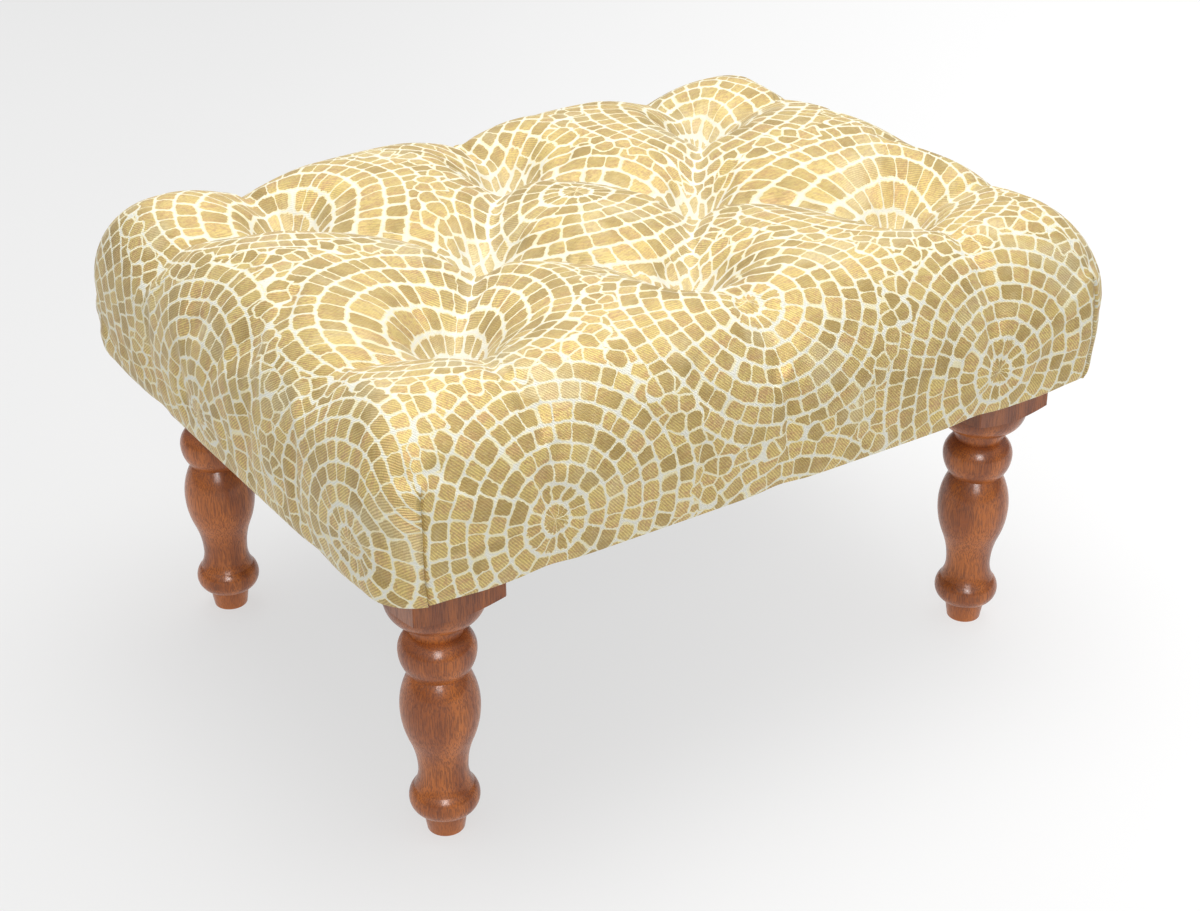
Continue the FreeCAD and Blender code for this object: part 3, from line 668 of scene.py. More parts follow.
@dataclass(frozen=True)
class Finish:
    """What every finish shares: a name, and a material with one Principled shader.

    The sockets hold the values that are the same all over the surface. The relief is what a height of 1 stands
    for.
    """

    name: str
    sockets: ClassVar[dict[str, float]] = {"Specular IOR Level": 0.3}
    relief: ClassVar[float] = 0.1 * MM

    def look(self, graph: Graph) -> dict[str, Field]:
        """Makes the finish's nodes: a field for each socket by its name, and the surface's height as Height."""
        raise NotImplementedError

    def material(self) -> bpy.types.Material:
        """Builds the material.

        Returns:
            The material, with the finish's nodes and one Principled shader.
        """
        material = bpy.data.materials.new(self.name)
        material.use_nodes = True
        material.node_tree.nodes.clear()
        graph = Graph(material.node_tree)
        shader = graph.add("BsdfPrincipled", **self.sockets)
        graph.add("OutputMaterial", Surface=graph.out(shader, "BSDF"))
        look = self.look(graph)
        if "Height" in look:
            bump = graph.add("Bump", Height=look.pop("Height"), Distance=self.relief, Strength=1.0)
            look["Normal"] = graph.out(bump, "Normal")
        for name, value in look.items():
            graph.feed(shader.inputs[name], value)
        return material

    def point(self, graph: Graph) -> Field:
        """The point of the object's own frame that is being coloured."""
        return graph.out(graph.add("TexCoord"), "Object")


@dataclass(frozen=True)
class MosaicCloth(Finish):
    """Twill cloth printed with gold tiles on an off-white ground. It reads the flat cloth's own coordinates."""

    gold: Colour = linear(234, 211, 132)
    rose: Colour = linear(219, 179, 125)
    shade: Colour = linear(181, 156, 91)
    valley: Colour = linear(150, 118, 74)
    cream: Colour = linear(240, 231, 190)
    # Colour that the tiles are brightened towards down in the tufts, as painted light.
    painted_tile_light: Colour = linear(255, 247, 206)
    ground: Colour = linear(232, 231, 218)
    # Colour that the joints are brightened towards down in the tufts, as painted light.
    painted_joint_light: Colour = linear(252, 250, 240)
    metal: float = 0.3
    joint: float = 0.98 * MM
    joint_spread: float = 1.1 * MM
    tuft_start: float = 8 * MM
    tuft_end: float = 38 * MM
    brush_scale: tuple[float, float, float] = (28.0, 120.0, 1.0)
    wash_scale: float = 34.0
    speck_scale: float = 430.0
    fade_scale: float = 15.0
    fade_limits: tuple[float, float] = (0.52, 0.68)
    rose_limits: tuple[float, float] = (0.44, 0.6)
    gold_limits: tuple[float, float] = (0.35, 1.05)
    fleck_limits: tuple[float, float] = (0.5, 0.6)
    brush_share: float = 0.45
    speck_share: float = 0.55
    tile_share: float = 0.5
    wash_share: float = 1.1
    fade_shine: float = 0.42
    tile_light_share: float = 0.6
    rib_shade: float = 0.56
    fleck_shade: float = 0.16
    slub_shine: float = 0.12
    joint_shade: float = 0.06
    joint_light_share: float = 0.8
    joint_roughness: float = 0.78
    tile_roughness: float = 0.46
    roughness_spread: float = 0.12
    tile_height: float = 0.25
    follows_cloth: bool = True
    sockets = {"Sheen Weight": 0.2, "Sheen Roughness": 0.4, "Specular IOR Level": 0.4}
    relief = 0.28 * MM

    def point(self, graph: Graph) -> Field:
        """Finds the point that is being coloured.

        Args:
            graph: the material's graph.

        Returns:
            That of the flat cloth, or of the object's own frame where the piece has no cloth coordinates.
        """
        if self.follows_cloth:
            return graph.out(graph.add("Attribute", {"attribute_name": CLOTH_POINT}), "Vector")
        return super().point(graph)

    def look(self, graph: Graph) -> dict[str, Field]:
        """Makes the print, the weave and the gilding, with painted light that brightens the tiles and joints down
        in the tufts.

        Args:
            graph: the material's graph.

        Returns:
            What the shader's sockets take, and the weave's height.
        """
        point = self.point(graph)
        _, _, rise = graph.split(point)
        tufted = graph.step(rise * -1.0, self.tuft_start, self.tuft_end)
        pattern = MOSAIC.place(graph, Point=point, Joint=tufted * self.joint_spread + self.joint)
        weave = TWILL.place(graph, Point=point)
        brushed = graph.noise(point, self.brush_scale, 4.0, 0.6)
        washed = graph.noise(point, self.wash_scale, 3.0, 0.6)
        speck = graph.noise(point, self.speck_scale, 3.0, 0.7)
        faded = graph.step(graph.noise(point, self.fade_scale, 3.0, 0.6), *self.fade_limits)

        rosy = graph.step(brushed * self.brush_share + speck * self.speck_share, *self.rose_limits)
        golden = graph.step(pattern["Tone"] * self.tile_share + washed * self.wash_share, *self.gold_limits)
        tile = graph.colours(golden, self.shade, graph.colours(rosy, self.gold, self.rose))
        for share, colour in ((faded * self.fade_shine, self.cream),
                              # Down in the tufts the tiles are brightened as painted light.
                              (tufted * self.tile_light_share, self.painted_tile_light),
                              (weave["Rib"] * self.rib_shade, self.valley),
                              (graph.step(speck, *self.fleck_limits) * self.fleck_shade, self.valley),
                              (weave["Slub"] * self.slub_shine, self.cream)):
            tile = graph.colours(share, tile, colour)
        joint = graph.colours(pattern["Halo"], self.ground, self.cream)
        joint = graph.colours(weave["Rib"] * self.joint_shade, joint, self.shade)
        # Down in the tufts the joints are brightened as painted light.
        joint = graph.colours(tufted * self.joint_light_share, joint, self.painted_joint_light)
        roughness = brushed * self.roughness_spread + self.tile_roughness
        gleam = graph.ranged(pattern["Second Tone"] * 0.5 + brushed * 0.5, self.metal * 0.5, self.metal * 1.5)
        return {
            "Base Color": graph.colours(pattern["Tile"], joint, tile),
            "Metallic": pattern["Tile"] * gleam,
            "Roughness": graph.between(pattern["Tile"], self.joint_roughness, roughness),
            "Height": weave["Height"] + pattern["Tile"] * self.tile_height,
        }


@dataclass(frozen=True)
class VarnishedWood(Finish):
    """Stained wood under satin varnish, with painted shade at the bowl and block under the seat, and painted light
    at the foot.
    """

    light: Colour = linear(198, 111, 41)
    dark: Colour = linear(148, 75, 27)
    pore: Colour = linear(86, 43, 24)
    bowl_bottom: float = 172 * MM
    bowl_top: float = 190 * MM
    foot_top: float = 22 * MM
    tone_limits: tuple[float, float] = (0.25, 0.78)
    patch_stain: float = 0.12
    pore_shade: float = 0.5
    # Share of the painted shade at the bowl and block.
    bowl_painted_shade: float = 0.4
    # Share of the painted light at the foot.
    foot_painted_light: float = 0.55
    roughness: float = 0.4
    pore_roughness: float = 0.15
    scratch_roughness: float = 0.2
    sockets = {"Coat Weight": 0.55, "Coat Roughness": 0.17, "Specular IOR Level": 0.3}
    relief = 0.05 * MM

    def look(self, graph: Graph) -> dict[str, Field]:
        """Makes the grain, the stain and the wear, with painted shade at the bowl and block and painted light at
        the foot.

        Args:
            graph: the material's graph.

        Returns:
            What the shader's sockets take, and the grain's height.
        """
        point = self.point(graph)
        _, _, height = graph.split(point)
        grain = WOOD_GRAIN.place(graph, Point=point, Ring_Pitch=22.0 * MM, Pore_Share=0.6, Figure=0.5)
        wear = WEAR.place(graph, Point=point, Patch_Scale=22.0, Amount=0.6)
        tone = graph.step(grain["Tone"] + wear["Patches"] * self.patch_stain, *self.tone_limits)
        colour = graph.colours(tone, self.dark, self.light)
        for share, other in ((grain["Pores"] * self.pore_shade, self.pore),
                             # Painted shade at the bowl and block under the seat, in the pore colour.
                             (graph.step(height, self.bowl_bottom, self.bowl_top) * self.bowl_painted_shade, self.pore),
                             # Painted light at the foot.
                             ((1.0 - graph.step(height, 0.0, self.foot_top)) * self.foot_painted_light, self.light)):
            colour = graph.colours(share, colour, other)
        roughness = grain["Pores"] * self.pore_roughness + self.roughness
        roughness = roughness + wear["Scratches"] * self.scratch_roughness
        return {"Base Color": colour, "Roughness": roughness, "Height": grain["Height"]}


@dataclass(frozen=True)
class BareWood(Finish):
    """Planed, unfinished softwood of the hidden frame."""

    grain: Grain = Grain.ALONG_X
    light: Colour = linear(226, 190, 138)
    dark: Colour = linear(186, 138, 84)
    pore: Colour = linear(120, 82, 46)
    tone_limits: tuple[float, float] = (0.25, 0.8)
    pore_shade: float = 0.4
    patch_shade: float = 0.2
    roughness: float = 0.62
    roughness_spread: float = 0.2
    relief = 0.12 * MM

    def turned_point(self, graph: Graph) -> Field:
        """The point with its axes changed so that z runs along the grain."""
        parts = dict(zip("XYZ", graph.split(self.point(graph))))
        return graph.join(*(parts[axis] for axis in self.grain.value))

    def look(self, graph: Graph) -> dict[str, Field]:
        """Makes the grain and the handling marks.

        Args:
            graph: the material's graph.

        Returns:
            What the shader's sockets take, and the grain's height.
        """
        point = self.turned_point(graph)
        grain = WOOD_GRAIN.place(graph, Point=point, Ring_Pitch=6.5 * MM, Pore_Share=0.25, Figure=1.1)
        wear = WEAR.place(graph, Point=point, Patch_Scale=30.0, Amount=0.5)
        colour = graph.colours(graph.step(grain["Tone"], *self.tone_limits), self.light, self.dark)
        marks = grain["Pores"] * self.pore_shade + wear["Patches"] * self.patch_shade
        return {
            "Base Color": graph.colours(marks, colour, self.pore),
            "Roughness": grain["Tone"] * self.roughness_spread + self.roughness,
            "Height": grain["Height"],
        }


@dataclass(frozen=True)
class LayeredWood(BareWood):
    """Plywood: veneer on its faces and crossed plies on its edges."""

    plies: float = 7.0
    board_bottom: float = 278 * MM
    board_thickness: float = 12 * MM
    side_limits: tuple[float, float] = (0.3, 0.7)
    pore_shade: float = 0.35
    edge_shade: float = 0.75
    roughness: float = 0.66
    roughness_spread: float = 0.15
    relief = 0.1 * MM

    def look(self, graph: Graph) -> dict[str, Field]:
        """Makes the veneer and the plies.

        Args:
            graph: the material's graph.

        Returns:
            What the shader's sockets take, and the grain's height.
        """
        _, _, height = graph.split(self.point(graph))
        point = self.turned_point(graph)
        grain = WOOD_GRAIN.place(graph, Point=point, Ring_Pitch=14.0 * MM, Pore_Share=0.3, Figure=1.6)
        ply = ((height - self.board_bottom) / self.board_thickness * self.plies).floor()
        _, _, upward = graph.split(graph.out(graph.add("NewGeometry"), "Normal"))
        odd_edge = (ply * 0.5).fract().above(0.25) * (1.0 - graph.step(upward.size(), *self.side_limits))
        colour = graph.colours(graph.step(grain["Tone"], *self.tone_limits), self.light, self.dark)
        colour = graph.colours(odd_edge * self.edge_shade, colour, self.pore)
        return {
            "Base Color": graph.colours(grain["Pores"] * self.pore_shade, colour, self.pore),
            "Roughness": odd_edge * self.roughness_spread + self.roughness,
            "Height": grain["Height"] + odd_edge,
        }


@dataclass(frozen=True)
class CutFoam(Finish):
    """Open-cell upholstery foam."""

    pale: Colour = linear(240, 228, 184)
    deep: Colour = linear(196, 174, 118)
    cells: float = 620.0
    hollow_limits: tuple[float, float] = (0.15, 0.7)
    hollow_shade: float = 0.5
    patch_shade: float = 0.25
    roughness: float = 0.85
    roughness_spread: float = 0.1
    sockets = {"Specular IOR Level": 0.15, "Sheen Weight": 0.1}
    relief = 0.5 * MM

    def look(self, graph: Graph) -> dict[str, Field]:
        """Makes the cells.

        Args:
            graph: the material's graph.

        Returns:
            What the shader's sockets take, and the cells' height.
        """
        point = self.point(graph)
        cell = graph.add("TexVoronoi", Vector=point, Scale=self.cells)
        hollow = graph.step(graph.out(cell, "Distance"), *self.hollow_limits)
        wear = WEAR.place(graph, Point=point, Patch_Scale=12.0, Amount=0.6)
        share = hollow * self.hollow_shade + wear["Patches"] * self.patch_shade
        return {
            "Base Color": graph.colours(share, self.pale, self.deep),
            "Roughness": hollow * self.roughness_spread + self.roughness,
            "Height": 1.0 - hollow,
        }


@dataclass(frozen=True)
class FibreFelt(Finish):
    """Loose or pressed fibres: white wadding, or the thin black cloth under the seat."""

    body: Colour = linear(238, 238, 232)
    shadow: Colour = linear(200, 200, 194)
    emboss_pitch: float = 0.0
    emboss_limits: tuple[float, float] = (0.55, 0.8)
    curl_scale: float = 90.0
    curl: float = 9.0
    strand_scale: float = 240.0
    strand_limits: tuple[float, float] = (0.3, 0.7)
    strand_shade: float = 0.7
    patch_shade: float = 0.2
    roughness: float = 0.8
    roughness_spread: float = 0.15
    relief: float = 0.9 * MM
    sockets = {"Specular IOR Level": 0.2, "Sheen Weight": 0.3, "Sheen Roughness": 0.6}

    def look(self, graph: Graph) -> dict[str, Field]:
        """Makes the fibres, and the embossed dots where the finish has them.

        Args:
            graph: the material's graph.

        Returns:
            What the shader's sockets take, and the fibres' height.
        """
        point = self.point(graph)
        curled = graph.scaled(graph.noise(point, self.curl_scale, output="Color"), self.curl)
        curled = graph.vector("ADD", graph.scaled(point, self.strand_scale), curled)
        height = strands = graph.noise(curled, 1.0, 5.0, 0.7)
        wear = WEAR.place(graph, Point=point, Patch_Scale=16.0, Amount=0.5)
        if self.emboss_pitch:
            across, along, _ = graph.split(point)
            dots = (graph.math("SINE", across / self.emboss_pitch * FULL_TURN)
                    * graph.math("SINE", along / self.emboss_pitch * FULL_TURN))
            height = strands * 0.5 - graph.step(dots, *self.emboss_limits)
        share = graph.step(strands, *self.strand_limits) * self.strand_shade + wear["Patches"] * self.patch_shade
        return {
            "Base Color": graph.colours(share, self.body, self.shadow),
            "Roughness": strands * self.roughness_spread + self.roughness,
            "Height": height,
        }


@dataclass(frozen=True)
class PlatedSteel(Finish):
    """Zinc-plated steel of screws, bolts and staples."""

    bright: Colour = linear(206, 206, 200)
    dull: Colour = linear(150, 150, 140)
    roughness: float = 0.28
    patch_roughness: float = 0.25
    scratch_roughness: float = 0.2
    sockets = {"Metallic": 1.0, "Specular IOR Level": 0.5}
    relief = 0.03 * MM

    def look(self, graph: Graph) -> dict[str, Field]:
        """Makes the dull patches and the scratches.

        Args:
            graph: the material's graph.

        Returns:
            What the shader's sockets take, and the scratches' height.
        """
        wear = WEAR.place(graph, Point=self.point(graph), Patch_Scale=220.0, Amount=0.9)
        roughness = wear["Patches"] * self.patch_roughness + self.roughness
        return {
            "Base Color": graph.colours(wear["Patches"], self.bright, self.dull),
            "Roughness": roughness + wear["Scratches"] * self.scratch_roughness,
            "Height": wear["Scratches"],
        }


@dataclass(frozen=True)
class WaxedTwine(Finish):
    """Twisted upholstery twine."""

    pale: Colour = linear(226, 216, 186)
    deep: Colour = linear(160, 146, 112)
    twist: float = 3.2 * MM
    slant: float = 1.4
    strand_share: float = 0.7
    patch_share: float = 0.3
    roughness: float = 0.45
    roughness_spread: float = 0.2
    sockets = {"Specular IOR Level": 0.35}
    relief = 0.4 * MM

    def look(self, graph: Graph) -> dict[str, Field]:
        """Makes the strands.

        Args:
            graph: the material's graph.

        Returns:
            What the shader's sockets take, and the strands' height.
        """
        point = self.point(graph)
        across, along, height = graph.split(point)
        strand = graph.math("SINE", ((across + along) * self.slant + height) / self.twist * FULL_TURN) * 0.5 + 0.5
        wear = WEAR.place(graph, Point=point, Patch_Scale=150.0, Amount=0.5)
        share = strand * self.strand_share + wear["Patches"] * self.patch_share
        return {
            "Base Color": graph.colours(share, self.deep, self.pale),
            "Roughness": strand * self.roughness_spread + self.roughness,
            "Height": strand,
        }


@dataclass(frozen=True)
class StudioPaper(Finish):
    """Plain pale studio floor, which glows a little as painted light, and more so towards its right."""

    colour: Colour = linear(134, 134, 134)
    dim: Colour = linear(199, 199, 199)
    bright: Colour = linear(226, 226, 226)
    uneven: float = 0.98
    reach: tuple[float, float] = (-0.6, 0.9)
    towards: tuple[float, float] = (0.83, 0.55)
    cloud_scale: float = 3.0
    sockets = {"Specular IOR Level": 0.0, "Roughness": 0.9, "Emission Strength": 1.0}

    def look(self, graph: Graph) -> dict[str, Field]:
        """Makes the paper's tone and its glow.

        Args:
            graph: the material's graph.

        Returns:
            What the shader's sockets take.
        """
        point = self.point(graph)
        darker = tuple(channel * self.uneven for channel in self.colour[:3]) + (1.0,)
        across, along, _ = graph.split(point)
        right = graph.step(across * self.towards[0] - along * self.towards[1], *self.reach)
        return {
            "Base Color": graph.colours(graph.noise(point, self.cloud_scale), self.colour, darker),
            # The floor's glow is painted light, brighter towards its right.
            "Emission Color": graph.colours(right, self.dim, self.bright),
        }


def new_piece(name: str, points: np.ndarray, faces: Iterable[Sequence[int]], material: bpy.types.Material,
              slot: Slot | None = None) -> bpy.types.Object:
    """Makes a smooth-shaded mesh object in the scene.

    Args:
        name: the piece's name.
        points: its vertices, one row each.
        faces: its faces as vertex numbers.
        material: its finish.
        slot: the record's slot, for a piece of the object.

    Returns:
        The object, riding on the frame's body if it has a slot.
    """
    mesh = bpy.data.meshes.new(name)
    mesh.from_pydata(points.tolist(), [], [list(face) for face in faces])
    mesh.polygons.foreach_set("use_smooth", np.ones(len(mesh.polygons), dtype=bool))
    mesh.materials.append(material)
    mesh.update()
    piece = bpy.data.objects.new(name, mesh)
    bpy.context.scene.collection.objects.link(piece)
    if slot:
        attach(piece, BODY)
    return piece


def grid_faces(grid: np.ndarray) -> np.ndarray:
    """Four-sided faces of a grid of vertex numbers."""
    return np.stack([grid[:-1, :-1], grid[:-1, 1:], grid[1:, 1:], grid[1:, :-1]], -1).reshape(-1, 4)


def grid_edge(grid: np.ndarray) -> np.ndarray:
    """Vertex numbers round the edge of a grid of them, along its first row first."""
    return np.concatenate([grid[0, :-1], grid[:-1, -1], grid[-1, :0:-1], grid[:0:-1, 0]])


def closed_faces(faces: np.ndarray, edge: np.ndarray, count: int) -> np.ndarray:
    """Faces of a closed layer: the outer side's, the inner side's, whose points come count later, and the rim's."""
    rim = np.stack([edge, edge + count, np.roll(edge, -1) + count, np.roll(edge, -1)], -1)
    return np.concatenate([faces, faces[:, ::-1] + count, rim])


def spreading(count: int, factor: int, closed: bool) -> np.ndarray:
    """Weights that spread values on coarse points smoothly over finer ones.

    Args:
        count: number of coarse points.
        factor: fine steps for each coarse step.
        closed: whether the points run round a ring.

    Returns:
        A matrix with a row for each fine point and a column for each coarse one.
    """
    fine = count * factor if closed else (count - 1) * factor + 1
    weights = np.zeros((fine, count))
    for row in range(fine):
        start, rest = divmod(row, factor)
        t = rest / factor
        shares = (-0.5 * t + t * t - 0.5 * t ** 3, 1 - 2.5 * t * t + 1.5 * t ** 3,
                  0.5 * t + 2 * t * t - 1.5 * t ** 3, -0.5 * t * t + 0.5 * t ** 3)
        for offset, share in zip((-1, 0, 1, 2), shares):
            column = (start + offset) % count if closed else min(max(start + offset, 0), count - 1)
            weights[row, column] += share
    return weights


def unit(vectors: np.ndarray) -> np.ndarray:
    """Vectors of length 1 in the same directions."""
    return vectors / np.maximum(np.linalg.norm(vectors, axis=-1, keepdims=True), 1e-12)


def patch(ring: np.ndarray, columns: int, rows: int) -> np.ndarray:
    """Grid of values that fills a ring of them: blends the four sides of the ring across its inside.

    Args:
        ring: values round the ring, from the front left corner along the front first.
        columns: steps along the front.
        rows: steps along a side.

    Returns:
        The values as (rows + 1, columns + 1, parts).
    """
    turns = np.cumsum([0, columns, rows, columns, rows])
    closed = np.concatenate([ring, ring[:1]])
    front, right, rear, left = (closed[turns[i]:turns[i + 1] + 1] for i in range(4))
    rear, left = rear[::-1], left[::-1]
    s = np.linspace(0.0, 1.0, columns + 1)[None, :, None]
    t = np.linspace(0.0, 1.0, rows + 1)[:, None, None]
    across = (1 - t) * front[None] + t * rear[None]
    along = (1 - s) * left[:, None] + s * right[:, None]
    corners = ((1 - s) * (1 - t) * front[0] + s * (1 - t) * front[-1]
               + (1 - s) * t * rear[0] + s * t * rear[-1])
    return across + along - corners


@dataclass
class Skin:
    """One layer of the seat's skin: a plateau grid, and rings of points round it that run outwards and down.

    Ring 0 is the plateau's own edge. Every ring has the same number of points. The cloth's flat coordinates are
    kept twice, for the faces before each column and for those after it, because they jump at a corner fold.
    """

    plateau: np.ndarray
    rings: np.ndarray
    plateau_out: np.ndarray
    rings_out: np.ndarray
    plateau_cloth: np.ndarray
    cloth_before: np.ndarray
    cloth_after: np.ndarray

    def grid(self) -> np.ndarray:
        """Vertex numbers of the plateau's points."""
        rows, columns = self.plateau.shape[:2]
        return np.arange(rows * columns).reshape(rows, columns)

    def numbers(self) -> np.ndarray:
        """Vertex numbers of the rings' points.

        Returns:
            The numbers, a row for each ring.
        """
        grid = self.grid()
        count, around = self.rings.shape[:2]
        outer = grid.size + np.arange((count - 1) * around).reshape(count - 1, around)
        return np.concatenate([grid_edge(grid)[None], outer])

    def points(self) -> np.ndarray:
        """All vertices, the plateau's first."""
        return np.concatenate([self.plateau.reshape(-1, 3), self.rings[1:].reshape(-1, 3)])

    def outward(self) -> np.ndarray:
        """Outward directions at all vertices."""
        return np.concatenate([self.plateau_out.reshape(-1, 3), self.rings_out[1:].reshape(-1, 3)])

    def faces(self) -> np.ndarray:
        """Four-sided faces that look outwards.

        Returns:
            The faces as vertex numbers, the plateau's first.
        """
        ring = self.numbers()
        inner, outer = ring[:-1], ring[1:]
        wall = np.stack([inner, outer, np.roll(outer, -1, 1), np.roll(inner, -1, 1)], -1).reshape(-1, 4)
        return np.concatenate([grid_faces(self.grid()), wall])

    def face_cloth(self) -> np.ndarray:
        """Flat cloth coordinates at the corners of all faces.

        Returns:
            The coordinates in the faces' order, (N, 4, 3).
        """
        flat = self.plateau_cloth
        top = np.stack([flat[:-1, :-1], flat[:-1, 1:], flat[1:, 1:], flat[1:, :-1]], 2).reshape(-1, 4, 3)
        before, after = np.roll(self.cloth_before, -1, 1), self.cloth_after
        wall = np.stack([after[:-1], after[1:], before[1:], before[:-1]], 2).reshape(-1, 4, 3)
        return np.concatenate([top, wall])

    def layer(self, points: np.ndarray) -> Skin:
        """The same skin with its vertices moved to the given points."""
        return replace(self, plateau=points[self.grid()], rings=points[self.numbers()])


@dataclass
class SeatShape:
    """Sizes of the padded seat, and the formulas of its skin."""

    half_length: float
    half_depth: float
    hem_bottom: float
    tufts: list[tuple[float, float]]
    tuft_floor: float
    corner_radius: float = 35 * MM
    crown_top: float = 350 * MM
    shoulder_bottom: float = 276 * MM
    side_run: float = 43 * MM
    front_run: float = 68 * MM
    plateau_corner: float = 12 * MM
    wall_bulge: float = 1.5 * MM
    bulge_height: float = 40 * MM
    hem_draw: float = 3 * MM
    hem_roll: float = 26 * MM
    hem_turn: float = 1.6 * MM
    hem_slack: float = 1.2 * MM
    hem_sag: float = 2.2 * MM
    hem_pull_width: float = 17 * MM
    hem_free: float = 40 * MM
    flange: float = 31 * MM
    tuft_reach: float = 51 * MM
    tuft_flat: float = 9 * MM
    tuft_power: float = 2.2
    neighbour_reach: float = 200 * MM
    outer_row: float = 10 * MM
    outer_column: float = 150 * MM
    crease_depth: float = 20 * MM
    crease_width: float = 62 * MM
    edge_depth: float = 17 * MM
    front_edge_depth: float = 9.5 * MM
    edge_width: float = 58 * MM
    edge_tail: float = 3 * MM
    edge_tail_from: float = 30 * MM
    edge_tail_run: float = 110 * MM
    edge_run: float = 150 * MM
    edge_fade: float = 60 * MM
    side_lift: float = 7.5 * MM
    side_lift_at: float = 250 * MM
    side_lift_reach: tuple[float, float] = (70 * MM, 80 * MM)
    softness: float = 5 * MM
    sharpness: float = 5.0
    pleat_height: float = 1.1 * MM
    pleat_start: float = 9 * MM
    pleat_reach: float = 30 * MM
    pleat_waves: tuple[tuple[int, float], ...] = ((5, 0.6), (9, 1.0), (13, 0.7))
    pleat_seed: int = 7
    fold_angle: float = math.radians(76)
    fold_top: float = 307 * MM
    fold_lead: float = 14 * MM
    fold_open: float = 42 * MM
    fold_start: float = 5 * MM
    fold_draw: float = 6 * MM
    fold_pull: float = 0.92
    fold_match: float = 0.05 * MM
    fold_half_width: float = 0.55 * MM
    fold_depth: float = 7.0 * MM
    fold_rise: float = 1.3 * MM
    fold_under: float = 0.4
    fold_taper: float = 10 * MM
    fold_steps: int = 2
    gather_cloth: float = 15 * MM
    gather_reach: float = 29 * MM
    drawn_cloth: float = 30 * MM
    drawn_width: float = 75 * MM
    drawn_from: float = -192 * MM
    drawn_full: float = -128 * MM
    drawn_until: float = -75 * MM
    drawn_end: float = 65 * MM
    fullness: tuple[tuple[float, float, float, float], ...] = (
        (-240 * MM, 195 * MM, 4.0 * MM, 45 * MM), (-90 * MM, 210 * MM, 1.5 * MM, 50 * MM),
        (170 * MM, 205 * MM, -4.5 * MM, 34 * MM), (262 * MM, 195 * MM, -1.5 * MM, 60 * MM),
        (285 * MM, 118 * MM, 4.5 * MM, 34 * MM), (282 * MM, 30 * MM, 0.5 * MM, 60 * MM),
        (285 * MM, -112 * MM, 7.0 * MM, 46 * MM), (368 * MM, -300 * MM, -5.0 * MM, 48 * MM))
    hem_pulls: tuple[tuple[Side, float], ...] = (
        (Side.FRONT, -190.7 * MM), (Side.FRONT, -6.2 * MM), (Side.FRONT, 171 * MM), (Side.RIGHT, -92 * MM),
        (Side.RIGHT, 61 * MM), (Side.REAR, -148 * MM), (Side.REAR, 33 * MM), (Side.REAR, 196 * MM),
        (Side.LEFT, -108 * MM), (Side.LEFT, 138 * MM))
    front_steps: int = 62
    side_steps: int = 52
    shoulder_steps: int = 12
    wall_steps: int = 6
    turn_steps: int = 4
    flange_steps: int = 4

    def fold_place(self) -> float:
        """Finds a corner fold's place along the front or rear.

        Returns:
            The place as a share of the way from the side's middle to the corner's.
        """
        straight = self.half_length - self.corner_radius
        turn = QUARTER_TURN - self.fold_angle
        return (straight + turn * self.corner_radius) / (straight + self.corner_radius * QUARTER_TURN / 2)

    def columns(self, finer: int) -> tuple[np.ndarray, np.ndarray]:
        """Spreads a ring's points along its sides.

        Args:
            finer: fine steps for each coarse one.

        Returns:
            The side of each point as a Side value, and its place along that side from -1 to 1.
        """
        fold = self.fold_place()
        ends, middle = self.fold_steps * finer, self.front_steps * finer
        front = np.concatenate([np.linspace(-1, -fold, ends + 1)[:-1], np.linspace(-fold, fold, middle + 1)[:-1],
                                np.linspace(fold, 1, ends + 1)[:-1]])
        side = np.linspace(-1, 1, self.side_steps * finer + 1)[:-1]
        runs = {Side.FRONT: front, Side.RIGHT: side, Side.REAR: front, Side.LEFT: side}
        sides = np.concatenate([np.full(len(run), place.value) for place, run in runs.items()])
        return sides, np.concatenate(list(runs.values()))

    def outline(self, side: np.ndarray, walk: np.ndarray, reach: tuple[float, float],
                radius: float) -> tuple[np.ndarray, np.ndarray]:
        """Points of a rounded rectangle in plan.

        Args:
            side: the side of each point, as a Side value.
            walk: its distance along the outline from the side's middle.
            reach: half the rectangle's length and half its depth.
            radius: its corner radius.

        Returns:
            The points and the outward directions there, both (N, 2).
        """
        level = side % 2 == 0
        straight = np.where(level, reach[0], reach[1]) - radius
        turn = np.clip((np.abs(walk) - straight) / radius, 0.0, QUARTER_TURN / 2)
        across = np.sign(walk) * (np.minimum(np.abs(walk), straight) + radius * np.sin(turn))
        away = np.where(level, reach[1], reach[0]) - radius + radius * np.cos(turn)
        lean, square = np.sign(walk) * np.sin(turn), np.cos(turn)
        points = np.stack([np.choose(side, [across, away, -across, -away]),
                           np.choose(side, [-away, across, away, -across])], -1)
        normals = np.stack([np.choose(side, [lean, square, -lean, -square]),
                            np.choose(side, [-square, lean, square, -lean])], -1)
        return points, normals

    def shoulder_length(self, share: float, run: float) -> float:
        """Length of the shoulder's curve from the plateau's edge.

        Args:
            share: how much of the shoulder's turn is measured.
            run: how far the whole shoulder reaches outwards.

        Returns:
            The length.
        """
        angles = np.linspace(0.0, share * QUARTER_TURN, 60)
        height = self.crown_top - self.shoulder_bottom
        return float(np.hypot(np.diff(run * np.sin(angles)), np.diff(height * np.cos(angles))).sum())

    def edge_crease(self, off: np.ndarray, run: np.ndarray, depth: float) -> np.ndarray:
        """Depth of the crease from an outer tuft to the edge.

        Args:
            off: how far each point lies beside the crease's line.
            run: how far it lies along it from the tuft.
            depth: the crease's depth at the tuft.

        Returns:
            The depth at the points.
        """
        far = np.where(run < 0, np.hypot(off, run), off)
        share = np.clip((np.hypot(far, self.softness) - self.softness) / self.edge_width, 0.0, 1.0)
        level = depth + (self.edge_tail - depth) * eased((run - self.edge_tail_from) / self.edge_tail_run)
        level = level * (1.0 - eased((run - self.edge_run) / self.edge_fade))
        return level * (1.0 - share) ** 2

